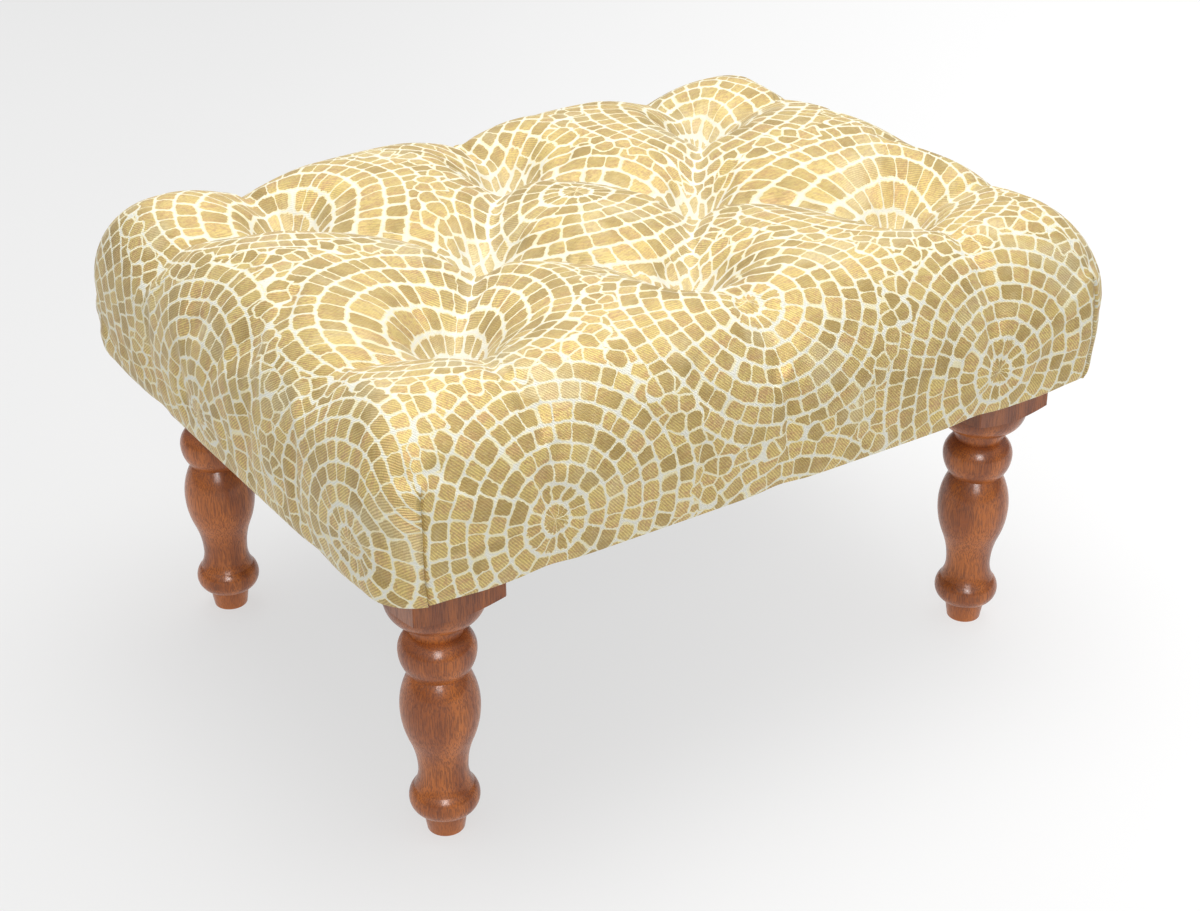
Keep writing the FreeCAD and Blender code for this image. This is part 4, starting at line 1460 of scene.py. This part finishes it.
    def inner_crease(self, u: np.ndarray, v: np.ndarray, start: tuple[float, float],
                     end: tuple[float, float]) -> np.ndarray:
        """Depth of the crease between two neighbouring tufts.

        Args:
            u: the points' places on the flat cloth along x.
            v: their places along y.
            start: one tuft.
            end: the other.

        Returns:
            The depth at the points.
        """
        run = (end[0] - start[0], end[1] - start[1])
        along = ((u - start[0]) * run[0] + (v - start[1]) * run[1]) / (run[0] ** 2 + run[1] ** 2)
        share = np.clip(along, 0.0, 1.0)
        far = np.hypot(u - start[0] - share * run[0], v - start[1] - share * run[1])
        drop = np.clip((np.hypot(far, self.softness) - self.softness) / self.crease_width, 0.0, 1.0)
        return self.crease_depth * (1.0 - drop) ** 2

    def depth(self, u: np.ndarray, v: np.ndarray) -> np.ndarray:
        """How far tufts and creases pull the skin in.

        Args:
            u: the points' places on the flat cloth along x.
            v: their places along y.

        Returns:
            The depth at the points.
        """
        pit = self.crown_top - self.tuft_floor
        parts = []
        for index, (x, y) in enumerate(self.tufts):
            far = np.hypot(u - x, v - y)
            share = np.clip((far - self.tuft_flat) / self.tuft_reach, 0.0, 1.0)
            parts.append(pit * (1.0 - share) ** self.tuft_power)
            for other in self.tufts[index + 1:]:
                if abs(other[1] - y) > self.outer_row and math.dist(other, (x, y)) < self.neighbour_reach:
                    parts.append(self.inner_crease(u, v, (x, y), other))
            if abs(y) > self.outer_row:
                deep = self.front_edge_depth if y < 0 else self.edge_depth
                parts.append(self.edge_crease(np.abs(u - x), (v - y) * math.copysign(1, y), deep))
            if abs(x) > self.outer_column:
                parts.append(self.edge_crease(np.abs(v - y), (u - x) * math.copysign(1, x), self.edge_depth))
        total = sum(np.power(part, self.sharpness) for part in parts)
        reach_u, reach_v = self.side_lift_reach
        lift = self.side_lift * np.exp(-((np.abs(u) - self.side_lift_at) / reach_u) ** 2 - (v / reach_v) ** 2)
        for x, y, rise, reach in self.fullness:
            lift = lift + rise * np.exp(-((u - x) ** 2 + (v - y) ** 2) / reach ** 2)
        return np.power(total, 1 / self.sharpness) - lift

    def drawn(self, flat: np.ndarray) -> np.ndarray:
        """Draws the flat cloth down into the tufts.

        Args:
            flat: the flat cloth's coordinates, (..., 2).

        Returns:
            The drawn coordinates and the height above the flat cloth, (..., 3).
        """
        u, v = flat[..., 0], flat[..., 1]
        depth = self.depth(u, v)
        gather_u, gather_v = np.zeros_like(u), np.zeros_like(v)
        for x, y in self.tufts:
            off_u, off_v = u - x, v - y
            share = self.gather_cloth / self.gather_reach * np.exp(
                (1 - (off_u ** 2 + off_v ** 2) / self.gather_reach ** 2) / 2)
            gather_u, gather_v = gather_u + off_u * share, gather_v + off_v * share
        near = np.exp(-((np.abs(u) - self.tufts[2][0]) / self.drawn_width) ** 2)
        rise = eased((v - self.drawn_from) / (self.drawn_full - self.drawn_from))
        fall = eased((v - self.drawn_until) / (self.drawn_end - self.drawn_until))
        drawn_v = v + self.drawn_cloth * near * (rise - fall)
        return np.stack([u + gather_u, drawn_v + gather_v, -depth], -1)

    def hem_drop(self, side: np.ndarray, walk: np.ndarray) -> np.ndarray:
        """How far the hem hangs between the places where it is pulled up.

        Args:
            side: the side of each point, as a Side value.
            walk: its distance along the outline from the side's middle.

        Returns:
            The drop at the points.
        """
        drop = np.ones_like(walk)
        for place, at in self.hem_pulls:
            pull = np.exp(-((walk - at) / self.hem_pull_width) ** 2)
            drop = drop * np.where(side == place.value, 1 - pull, 1.0)
        half = np.where(side % 2 == 0, self.half_length, self.half_depth) - self.corner_radius
        return self.hem_sag * drop * eased((half - np.abs(walk)) / self.hem_free)

    def pleats(self, u: np.ndarray, v: np.ndarray) -> np.ndarray:
        """Height of the small folds of cloth that run out of each tuft.

        Args:
            u: the points' places on the flat cloth along x.
            v: their places along y.

        Returns:
            The height at the points.
        """
        draws = np.random.default_rng(self.pleat_seed)
        height = np.zeros_like(u)
        for x, y in self.tufts:
            far, angle = np.hypot(u - x, v - y), np.arctan2(v - y, u - x)
            wave = np.zeros_like(u)
            for count, size in self.pleat_waves:
                wave += size * np.cos(count * angle + draws.uniform(0, FULL_TURN))
            begun = eased((far - self.pleat_start) / self.pleat_start)
            height += self.pleat_height * wave * begun * np.exp(-(far / self.pleat_reach) ** 2)
        return height

    def cloth(self, points: np.ndarray, reach: tuple[float, float], radius: float, run: tuple[float, float],
              opened: float, beyond: np.ndarray) -> np.ndarray:
        """Flat cloth coordinates of a ring's points.

        Args:
            points: the ring's points in plan.
            reach: half the ring's length and depth.
            radius: the ring's corner radius.
            run: the cloth's length from the seat's middle to the ring, along x and along y.
            opened: 0 where the corner's cloth is gathered, 1 where its excess is tucked into the corner fold.
            beyond: whether a point lies on the front's or rear's side of its corner fold.

        Returns:
            The coordinates, (N, 2).
        """
        centre = (reach[0] - radius, reach[1] - radius)
        far = (run[0] - centre[0], run[1] - centre[1])
        plan = np.abs(points)
        off = plan - centre
        angle = np.arctan2(np.maximum(off[:, 1], 0.0), np.maximum(off[:, 0], 0.0))
        squeeze = 1 - opened + opened * radius * 2 / (far[0] + far[1])
        turned = np.where(beyond, QUARTER_TURN - (QUARTER_TURN - angle) * squeeze, angle * squeeze)
        corner = (off[:, 0] > 0) & (off[:, 1] > 0)
        u = np.where(corner, centre[0] + far[0] * np.cos(turned), np.where(off[:, 0] > 0, run[0], plan[:, 0]))
        v = np.where(corner, centre[1] + far[1] * np.sin(turned), np.where(off[:, 1] > 0, run[1], plan[:, 1]))
        return np.stack([np.sign(points[:, 0]) * u, np.sign(points[:, 1]) * v], -1)

    def fold_relief(self, off: np.ndarray, strength: float) -> np.ndarray:
        """How far the skin stands out near a corner fold.

        Args:
            off: the points' distance to the fold, negative on its flap.
            strength: how much of the fold there is at the ring's height, from 0 to 1.

        Returns:
            The relief at the points.
        """
        flap = self.fold_rise * np.exp(np.minimum(off, 0.0) / self.fold_taper)
        under = -self.fold_under * self.fold_rise * np.exp(-np.maximum(off, 0.0) / self.fold_taper)
        slit = np.where(np.abs(off) < self.fold_half_width, -self.fold_depth, np.where(off < 0, flap, under))
        return slit * strength

    def ring(self, finer: int, share: float, drop: float) -> tuple[np.ndarray, ...]:
        """One ring of the skin.

        Args:
            finer: fine steps for each coarse one.
            share: how far it is round the shoulder, from 0 at the plateau to 1 at the wall.
            drop: how far it is below the shoulder, down the wall.

        Returns:
            Its points, outward directions, smooth cloth coordinates, and those before and after each column.
        """
        side, along = self.columns(finer)
        angle = share * QUARTER_TURN
        rise = self.crown_top - self.shoulder_bottom
        height = self.shoulder_bottom + rise * math.cos(angle) - drop
        low = max(0.0, 1 - (height - self.hem_bottom + self.hem_slack - self.hem_turn) / self.hem_roll)
        bulge = self.wall_bulge * math.sin(math.pi * min(1.0, drop / self.bulge_height))
        out = bulge - self.hem_draw * (1 - math.sqrt(max(0.0, 1 - low * low)))
        reach = (self.half_length - self.side_run * (1 - math.sin(angle)) + out,
                 self.half_depth - self.front_run * (1 - math.sin(angle)) + out)
        radius = self.plateau_corner + (self.corner_radius - self.plateau_corner) * math.sin(angle) + out
        run = (self.half_length - self.side_run + self.shoulder_length(share, self.side_run) + drop,
               self.half_depth - self.front_run + self.shoulder_length(share, self.front_run) + drop)
        below = self.fold_top - height
        strength = float(eased(np.array(below / self.fold_start)))
        opened = float(eased(np.array((below + self.fold_lead) / self.fold_open)))

        level = side % 2 == 0
        straight = np.where(level, reach[0], reach[1]) - radius
        walk = along * (straight + radius * QUARTER_TURN / 2)
        fold_walk = self.fold_place() * (straight + radius * QUARTER_TURN / 2)
        off = (fold_walk - np.abs(walk)) * np.where(level, 1.0, 1e3)
        moved = off * (1 - self.fold_pull * strength * np.exp(-(off / self.fold_draw) ** 2))
        walk = np.where(level, np.sign(walk) * (fold_walk - moved), walk)
        plan, plan_out = self.outline(side, walk, reach, radius)
        slope = self.side_run * plan_out[:, 0] ** 2 + self.front_run * plan_out[:, 1] ** 2
        lean = unit(np.stack([np.full(len(side), rise * math.sin(angle)), slope * math.cos(angle)], -1))
        outward = np.concatenate([plan_out * lean[:, :1], lean[:, 1:]], -1)
        sag = self.hem_drop(side, walk) * (drop / (self.shoulder_bottom - self.hem_bottom)) ** 2
        points = np.concatenate([plan, (height - sag)[:, None]], -1)
        points = points + outward * (self.fold_relief(moved, strength) * level)[:, None]

        smooth = self.cloth(plan, reach, radius, run, 0.0, np.zeros(len(side), dtype=bool))
        on_fold = level & (np.abs(off) < self.fold_match)
        inside = level & (off > 0) & ~on_fold
        before = self.cloth(plan, reach, radius, run, opened, inside | (on_fold & (walk > 0)))
        after = self.cloth(plan, reach, radius, run, opened, inside | (on_fold & (walk < 0)))
        return points, outward, smooth, before, after

    def skin(self, finer: int, detailed: bool) -> Skin:
        """The tufted skin down to just above the hem's turn.

        Args:
            finer: fine steps for each coarse one.
            detailed: whether it has the small folds round the tufts.

        Returns:
            The skin.
        """
        turns = self.shoulder_steps * finer
        falls = self.wall_steps * finer
        wall = self.shoulder_bottom - self.hem_bottom + self.hem_slack - self.hem_turn
        places = [(step / turns, 0.0) for step in range(turns + 1)]
        places += [(1.0, wall * step / falls) for step in range(1, falls + 1)]
        parts = [self.ring(finer, share, drop) for share, drop in places]
        rings, outs, smooth, before, after = (np.stack([part[i] for part in parts]) for i in range(5))
        columns = (2 * self.fold_steps + self.front_steps) * finer
        rows = self.side_steps * finer
        plateau = patch(rings[0], columns, rows)
        plateau_cloth = plateau[..., :2].copy()
        plateau_out = np.zeros_like(plateau)
        plateau_out[..., 2] = 1.0
        outs[0] = (0.0, 0.0, 1.0)
        for place, out, flat in ((plateau, plateau_out, plateau_cloth), (rings, outs, smooth)):
            relief = -self.depth(flat[..., 0], flat[..., 1])
            if detailed:
                relief = relief + self.pleats(flat[..., 0], flat[..., 1])
            place += out * relief[..., None]
        return Skin(plateau, rings, plateau_out, outs, self.drawn(plateau_cloth), self.drawn(before),
                    self.drawn(after))

    def with_hem(self, skin: Skin, finer: int) -> Skin:
        """Turns the skin's lower edge in under the seat as a flange.

        Args:
            skin: the skin down to the hem's turn.
            finer: fine steps for each coarse one.

        Returns:
            The skin with the turn and the flange.
        """
        side, _ = self.columns(finer)
        last, out = skin.rings[-1], skin.rings_out[-1]
        rings, outs = [], []
        for step in range(1, self.turn_steps + 1):
            angle = step / self.turn_steps * QUARTER_TURN
            inward = self.hem_turn * (1 - math.cos(angle))
            down = self.hem_turn * math.sin(angle)
            rings.append(last - out * inward - np.array((0, 0, down)))
            outs.append(out * math.cos(angle) - np.array((0, 0, math.sin(angle))))
        start = rings[-1]
        edge = np.array((self.half_length - self.flange, self.half_depth - self.flange))
        end = np.concatenate([np.clip(start[:, :2], -edge, edge), np.full((len(start), 1), self.hem_bottom)], -1)
        for step in range(1, self.flange_steps + 1):
            rings.append(start + (end - start) * step / self.flange_steps)
            outs.append(np.broadcast_to((0.0, 0.0, -1.0), start.shape))
        walked = np.cumsum([0] + [float(np.linalg.norm(a - b, axis=-1).mean())
                                  for a, b in zip([last] + rings[:-1], rings)])[1:]
        push = unit(skin.cloth_before[-1] - skin.cloth_before[-2])
        push_after = unit(skin.cloth_after[-1] - skin.cloth_after[-2])
        before = [skin.cloth_before[-1] + push * far for far in walked]
        after = [skin.cloth_after[-1] + push_after * far for far in walked]
        return replace(skin, rings=np.concatenate([skin.rings, rings]),
                       rings_out=np.concatenate([skin.rings_out, outs]),
                       cloth_before=np.concatenate([skin.cloth_before, before]),
                       cloth_after=np.concatenate([skin.cloth_after, after]))


@dataclass
class Filling:
    """Swells the seat's skin by cloth simulation, with the tufts and the hem held."""

    shape: SeatShape
    pressure: float = 4.0
    frames: int = 18
    furthest: float = 5 * MM
    start_inset: float = 2 * MM
    tuft_hold: float = 20 * MM
    hem_hold: float = 14 * MM
    spare_cloth: float = 0.02
    least_hold: float = 0.01

    def held(self, points: np.ndarray) -> np.ndarray:
        """How firmly the cloth is held.

        Args:
            points: the skin's points.

        Returns:
            A share from 0 to 1 for each point.
        """
        near = np.min([np.hypot(points[:, 0] - x, points[:, 1] - y) for x, y in self.shape.tufts], axis=0)
        tuft = 1 - eased((near - self.tuft_hold * 0.5) / (self.tuft_hold * 0.5))
        hem = 1 - eased((points[:, 2] - self.shape.hem_bottom - self.hem_hold * 0.5) / self.hem_hold)
        return np.maximum(tuft, hem)

    def run(self) -> Skin:
        """Runs the simulation.

        Returns:
            A coarse skin that holds how far each point moves.
        """
        skin = self.shape.skin(1, False)
        out = skin.outward()
        level = skin.points()
        held = self.held(level)
        start = level - out * (self.start_inset * (1 - held))[:, None]
        mesh = bpy.data.meshes.new("filling")
        mesh.from_pydata(start.tolist(), [], skin.faces().tolist())
        dummy = bpy.data.objects.new("filling", mesh)
        scene = bpy.context.scene
        scene.collection.objects.link(dummy)
        pins = dummy.vertex_groups.new(name="pins")
        for number, weight in enumerate(held):
            if weight > self.least_hold:
                pins.add([number], float(weight), "REPLACE")
        swell = dummy.modifiers.new("swell", "CLOTH")
        swell.settings.vertex_group_mass = pins.name
        swell.settings.use_pressure = True
        swell.settings.uniform_pressure_force = self.pressure
        swell.settings.shrink_min = -self.spare_cloth
        swell.settings.effector_weights.gravity = 0.0
        swell.point_cache.frame_start = 1
        swell.point_cache.frame_end = self.frames
        for number in range(1, self.frames + 1):
            scene.frame_set(number)
        shown = dummy.evaluated_get(bpy.context.evaluated_depsgraph_get())
        moved = np.empty(len(level) * 3)
        shown.data.vertices.foreach_get("co", moved)
        scene.frame_set(1)
        bpy.data.objects.remove(dummy)
        bpy.data.meshes.remove(mesh)
        move = moved.reshape(-1, 3) - level
        far = np.linalg.norm(move, axis=-1, keepdims=True)
        log.info("filling: mean move %.2f mm, largest %.2f mm", far.mean() / MM, far.max() / MM)
        move *= np.tanh(far / self.furthest) * self.furthest / np.maximum(far, 1e-9)
        return skin.layer(move)


def shell(name: str, outer: Skin, inner: np.ndarray, material: bpy.types.Material, slot: Slot) -> bpy.types.Object:
    """A closed layer between an outer skin and an inner one.

    Args:
        name: the piece's name.
        outer: the outer skin.
        inner: the inner skin's points, one for each of the outer's.
        material: the finish.
        slot: the record's slot.

    Returns:
        The piece, with the flat cloth's coordinates at its face corners.
    """
    points, cloth = outer.points(), outer.face_cloth()
    faces = closed_faces(outer.faces(), outer.numbers()[-1], len(points))
    piece = new_piece(name, np.concatenate([points, inner]), faces, material, slot)
    before, after = np.roll(outer.cloth_before[-1], -1, 0), outer.cloth_after[-1]
    values = np.concatenate([cloth, cloth[:, ::-1], np.stack([after, after, before, before], 1)])
    marks = piece.data.attributes.new(CLOTH_POINT, "FLOAT_VECTOR", "CORNER")
    marks.data.foreach_set("vector", values.ravel())
    return piece


def point_normals(points: np.ndarray, faces: np.ndarray) -> np.ndarray:
    """Outward directions at the points of a mesh of four-sided faces.

    Args:
        points: the mesh's points.
        faces: its faces as vertex numbers.

    Returns:
        A direction of length 1 for each point.
    """
    normals = np.cross(points[faces[:, 2]] - points[faces[:, 0]], points[faces[:, 3]] - points[faces[:, 1]])
    total = np.zeros_like(points)
    for corner in range(4):
        np.add.at(total, faces[:, corner], normals)
    return unit(total)


@dataclass
class Seat:
    """The cover, the wadding under it and the foam pad, which share one shape."""

    shape: SeatShape
    deck_top: float
    frame_reach: tuple[float, float]
    cover_thickness: float = 1.1 * MM
    wadding_inset: float = 2.6 * MM
    wadding_bottom: float = 242 * MM
    padding: float = 15 * MM
    clear: float = 0.4 * MM
    beside_lean: float = 0.5
    finer: int = 3
    cloth: MosaicCloth = MosaicCloth("tufted_cloth")
    fibre: FibreFelt = FibreFelt("wadding_fibre")
    foam: CutFoam = CutFoam("cut_foam")
    moves: Skin | None = None

    def swell(self) -> None:
        self.moves = Filling(self.shape).run()

    def surface(self, finer: int, detailed: bool) -> Skin:
        """The swollen skin down to just above the hem's turn.

        Args:
            finer: fine steps for each simulated one.
            detailed: whether it has the small folds round the tufts.

        Returns:
            The skin.
        """
        skin = self.shape.skin(finer, detailed)
        if self.moves is not None:
            rows, columns = self.moves.plateau.shape[:2]
            count, around = self.moves.rings.shape[:2]
            for part, moved, down, along, closed in ((skin.plateau, self.moves.plateau, rows, columns, False),
                                                     (skin.rings, self.moves.rings, count, around, True)):
                part += np.einsum("ar,rcd,bc->abd", spreading(down, finer, False), moved,
                                  spreading(along, finer, closed))
        return skin

    def build_cover(self) -> bpy.types.Object:
        """Makes the cover as a thin closed shell, turned in under the rails.

        Returns:
            The piece.
        """
        skin = self.shape.with_hem(self.surface(self.finer, True), self.finer)
        points = skin.points()
        inner = points - point_normals(points, skin.faces()) * self.cover_thickness
        piece = shell("seat_cover_cloth", skin, inner, self.cloth.material(), Slot.COVER)
        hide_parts("seat_cover")
        return piece

    def build_wadding(self) -> bpy.types.Object:
        """Makes the wadding, which follows the cover and ends above the hem.

        Returns:
            The piece.
        """
        skin = self.surface(1, False)
        outer = skin.points()
        out = skin.outward()
        inner = outer - out * (self.padding - self.clear)
        outer = outer - out * self.wadding_inset
        outer[:, 2] = np.maximum(outer[:, 2], self.wadding_bottom)
        inner[:, 2] = np.maximum(inner[:, 2], self.wadding_bottom)
        above = inner[:, 2] > self.deck_top
        reach = np.array(self.frame_reach) + self.clear
        for axis in (0, 1):
            beside = np.abs(out[:, axis]) > self.beside_lean
            least = np.maximum(np.abs(inner[:, axis]), reach[axis])
            inner[:, axis] = np.where(beside & ~above, np.sign(inner[:, axis]) * least, inner[:, axis])
        piece = shell("wadding_layer", skin.layer(outer), inner, self.fibre.material(), Slot.WADDING)
        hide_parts("wadding")
        return piece

    def build_foam(self) -> bpy.types.Object:
        """Makes the foam pad on the deck.

        Returns:
            The piece.
        """
        skin = self.surface(1, False)
        out = skin.outward()
        top = skin.points() - out * self.padding
        foot = self.deck_top + self.clear
        top[:, 2] = np.maximum(top[:, 2], foot + self.clear)
        below = top.copy()
        below[:, 2] = foot
        piece = shell("foam_block", skin.layer(top), below, self.foam.material(), Slot.FOAM)
        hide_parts("foam_pad")
        return piece


@dataclass
class TuftButton:
    """A covered button at the bottom of a tuft: its cloth is gathered under a low dome."""

    number: int
    place: tuple[float, float]
    foot: float
    radius: float = 10.8 * MM
    height: float = 5.8 * MM
    skirt: float = 1.6 * MM
    dome_turn: float = math.radians(112)
    rim_share: float = 0.9
    rim_drop: float = -0.35
    clear: float = 0.1 * MM
    steps: int = 40
    rings: int = 9
    gathers: int = 14
    gather_depth: float = 0.25 * MM

    def build(self, material: bpy.types.Material) -> bpy.types.Object:
        """Makes the button's mesh.

        Args:
            material: the finish that all buttons share.

        Returns:
            The piece.
        """
        points, faces = [(self.place[0], self.place[1], self.foot + self.height)], []
        for ring in range(1, self.rings + 1):
            share = ring / self.rings
            angle = share * self.dome_turn
            reach = self.radius * (math.sin(angle) if share < 1 else self.rim_share)
            height = self.foot + self.skirt + (self.height - self.skirt) * max(math.cos(angle), self.rim_drop)
            for step in range(self.steps):
                turn = step / self.steps * FULL_TURN
                pull = self.gather_depth * share ** 3 * math.cos(turn * self.gathers)
                points.append((self.place[0] + (reach - pull) * math.cos(turn),
                               self.place[1] + (reach - pull) * math.sin(turn), height))
        points.append((self.place[0], self.place[1], self.foot + self.clear))
        for step in range(self.steps):
            after = (step + 1) % self.steps
            faces.append((0, 1 + step, 1 + after))
            for ring in range(self.rings - 1):
                start = 1 + ring * self.steps
                faces.append((start + step, start + self.steps + step, start + self.steps + after, start + after))
            start = 1 + (self.rings - 1) * self.steps
            faces.append((start + after, start + step, len(points) - 1))
        name = f"tuft_button_{self.number}"
        piece = new_piece(f"{name}_covered", np.array(points), faces, material, Slot.COVER)
        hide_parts(name)
        return piece


@dataclass
class BottomCloth:
    """The black cloth stapled under the seat, which sags a little inside its edges."""

    low: Vector
    high: Vector
    step: float = 7 * MM
    thickness: float = 0.5 * MM
    sag: float = 1.6 * MM
    pucker: float = 0.5 * MM
    pucker_length: tuple[float, float] = (88 * MM, 74 * MM)
    edge_rise: float = 3.0
    block_middle: tuple[float, float] = (239.5 * MM, 174.5 * MM)
    block_half: float = 36 * MM
    block_fade: float = 30 * MM
    clear: float = 0.05 * MM
    felt: FibreFelt = FibreFelt("dust_felt", body=linear(40, 40, 42), shadow=linear(20, 20, 22),
                                emboss_pitch=1.9 * MM, relief=0.15 * MM)

    def drop(self, x: np.ndarray, y: np.ndarray) -> np.ndarray:
        """How far the cloth hangs below its edge.

        Args:
            x: the points' places along x.
            y: their places along y.

        Returns:
            The drop at the points, which is 0 under the corner blocks.
        """
        middle = (self.low + self.high) / 2
        half = (self.high - self.low) / 2
        across, along = (x - middle.x) / half.x, (y - middle.y) / half.y
        inside = eased((1 - np.abs(across)) * self.edge_rise) * eased((1 - np.abs(along)) * self.edge_rise)
        beside_x, beside_y = (np.abs(np.abs(place) - at) for place, at in zip((x, y), self.block_middle))
        free = eased((np.maximum(beside_x, beside_y) - self.block_half) / self.block_fade)
        ripple_x, ripple_y = (np.sin(place / length * FULL_TURN)
                              for place, length in zip((x, y), self.pucker_length))
        return inside * free * (self.sag + self.pucker * (ripple_x * ripple_y))

    def build(self) -> bpy.types.Object:
        """Makes the cloth as a thin closed sheet.

        Returns:
            The piece.
        """
        columns = round((self.high.x - self.low.x) / self.step)
        rows = round((self.high.y - self.low.y) / self.step)
        x, y = np.meshgrid(np.linspace(self.low.x, self.high.x, columns + 1),
                           np.linspace(self.low.y, self.high.y, rows + 1))
        top = self.high.z - self.clear - self.drop(x, y)
        upper = np.stack([x, y, top], -1).reshape(-1, 3)
        lower = upper - np.array((0, 0, self.thickness))
        grid = np.arange(len(upper)).reshape(rows + 1, columns + 1)
        faces = closed_faces(grid_faces(grid), grid_edge(grid), len(upper))
        piece = new_piece("dust_cloth", np.concatenate([upper, lower]), faces, self.felt.material(),
                          Slot.UNDERSIDE)
        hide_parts("bottom_cloth")
        return piece


@dataclass
class HardParts:
    """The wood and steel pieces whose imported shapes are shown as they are."""

    nodes: dict[str, bpy.types.Object]
    varnish: VarnishedWood = VarnishedWood("varnished_leg")
    steel: PlatedSteel = PlatedSteel("plated_steel")
    cord: WaxedTwine = WaxedTwine("waxed_twine")
    deck: LayeredWood = LayeredWood("plywood_deck", Grain.ALONG_X)
    dressed: list[str] = field(default_factory=list)

    def dress(self, starts: Sequence[str], material: bpy.types.Material) -> None:
        """Gives a finish to some of the nodes.

        Args:
            starts: words, one of which a node's name has to start with.
            material: the finish.
        """
        for name, node in self.nodes.items():
            if name.startswith(tuple(starts)):
                node.data.materials.clear()
                node.data.materials.append(material)
                self.dressed.append(name)

    def dress_all(self) -> None:
        """Dresses every hard piece."""
        self.dress(["leg_front", "leg_rear"], self.varnish.material())
        self.dress(["front_rail", "rear_rail"], BareWood("rail_wood_long", Grain.ALONG_X).material())
        self.dress(["left_rail", "right_rail"], BareWood("rail_wood_short", Grain.ALONG_Y).material())
        self.dress(["corner_block"], BareWood("block_wood", Grain.ALONG_Z).material())
        self.dress(["deck_board"], self.deck.material())
        self.dress(["button_twine"], self.cord.material())
        self.dress(["rail_screws", "corner_block_screws", "deck_screws", "cover_staples", "cloth_staples",
                    "leg_bolts", "tee_nuts", "button_anchors"], self.steel.material())


@dataclass(frozen=True)
class Softbox:
    """A rectangular light. It can be left out of what matt surfaces get, so that it only makes highlights."""

    name: str
    place: tuple[float, float, float]
    size: tuple[float, float]
    power: float
    on_matt: bool = True

    def hang(self, aim: tuple[float, float, float]) -> None:
        """Hangs the light.

        Args:
            aim: the point that it looks at.
        """
        data = bpy.data.lights.new(self.name, "AREA")
        data.shape = "RECTANGLE"
        data.size, data.size_y = self.size
        data.energy = self.power
        light = bpy.data.objects.new(self.name, data)
        light.location = self.place
        light.rotation_euler = (Vector(aim) - Vector(self.place)).to_track_quat("-Z", "Y").to_euler()
        light.visible_diffuse = self.on_matt
        bpy.context.scene.collection.objects.link(light)


@dataclass
class Studio:
    """Pale floor, soft lights and the camera."""

    place: tuple[float, float, float] = (-0.79197, -1.20348, 0.92173)
    azimuth: float = math.radians(-33.551)
    elevation: float = math.radians(28.487)
    roll: float = math.radians(-0.404)
    lens: float = 63.22
    sensor: float = 36.0
    floor_half: float = 6.0
    horizon: float = 0.16
    zenith: float = 0.95
    backdrop: float = 0.97
    aim: tuple[float, float, float] = (0.0, 0.0, 0.2)
    softboxes: tuple[Softbox, ...] = (
        Softbox("overhead_softbox", (0.2, 0.2, 2.6), (2.2, 2.2), 48.5),
        Softbox("key_softbox", (-1.5, -2.6, 2.1), (0.5, 0.8), 14.5),
        Softbox("gloss_softbox", (-1.6, -2.7, 2.15), (1.3, 2.2), 78.0, on_matt=False))
    paper: StudioPaper = StudioPaper("studio_paper")

    def camera(self) -> None:
        """Places the camera at the photograph's viewing angle."""
        data = bpy.data.cameras.new("camera")
        data.lens = self.lens
        data.sensor_width = self.sensor
        camera = bpy.data.objects.new("camera", data)
        turn = (Matrix.Rotation(self.azimuth, 4, "Z") @ Matrix.Rotation(QUARTER_TURN - self.elevation, 4, "X")
                @ Matrix.Rotation(self.roll, 4, "Z"))
        camera.matrix_world = Matrix.Translation(self.place) @ turn
        bpy.context.scene.collection.objects.link(camera)
        bpy.context.scene.camera = camera

    def floor(self) -> None:
        """Lays the studio paper."""
        half = self.floor_half
        corners = np.array([(-half, -half, 0), (half, -half, 0), (half, half, 0), (-half, half, 0)])
        new_piece("studio_floor", corners, [(0, 1, 2, 3)], self.paper.material())

    def lights(self) -> None:
        """Lights the studio softly from above, with a bright room round it."""
        for softbox in self.softboxes:
            softbox.hang(self.aim)
        world = bpy.data.worlds.new("studio")
        world.use_nodes = True
        graph = Graph(world.node_tree)
        _, _, upward = graph.split(graph.out(graph.add("TexCoord"), "Generated"))
        background = world.node_tree.nodes["Background"]
        background.inputs["Color"].default_value = (1.0, 1.0, 1.0, 1.0)
        room = graph.ranged(upward, self.horizon, self.zenith)
        seen = graph.out(graph.add("LightPath"), "Is Camera Ray")
        graph.feed(background.inputs["Strength"], graph.between(seen, room, self.backdrop))
        bpy.context.scene.world = world
        bpy.context.scene.view_settings.view_transform = "Standard"

    def build(self) -> None:
        """Sets up the whole studio."""
        self.camera()
        self.floor()
        self.lights()


def middle_of(node: str) -> tuple[float, float]:
    """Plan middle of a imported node."""
    low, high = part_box(node)
    return (low.x + high.x) / 2, (low.y + high.y) / 2


def report(piece: bpy.types.Object) -> None:
    """Logs a finished piece."""
    log.info("%s: %d faces", piece.name, len(piece.data.polygons))


def main() -> None:
    """Builds and dresses the footstool and its studio."""
    logging.basicConfig(level=logging.INFO, format="%(name)s: %(message)s")
    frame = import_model()
    Studio().build()

    cover_low, cover_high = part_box("seat_cover")
    _, deck_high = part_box("deck_board")
    places = [middle_of(f"tuft_button_{number}") for number in range(1, TUFTS + 1)]
    button_low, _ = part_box("tuft_button_1")
    shape = SeatShape(cover_high.x, cover_high.y, cover_low.z, places, button_low.z)
    seat = Seat(shape, deck_high.z, (deck_high.x, deck_high.y))
    seat.swell()
    for build in (seat.build_cover, seat.build_wadding, seat.build_foam):
        report(build())
    button_cloth = MosaicCloth("button_cloth", follows_cloth=False).material()
    for number, place in enumerate(places, 1):
        report(TuftButton(number, place, button_low.z).build(button_cloth))
    report(BottomCloth(*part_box("bottom_cloth")).build())
    hard = HardParts(frame["nodes"])
    hard.dress_all()
    log.info("dressed %d packed pieces", len(hard.dressed))


if __name__ == "__main__":
    main()
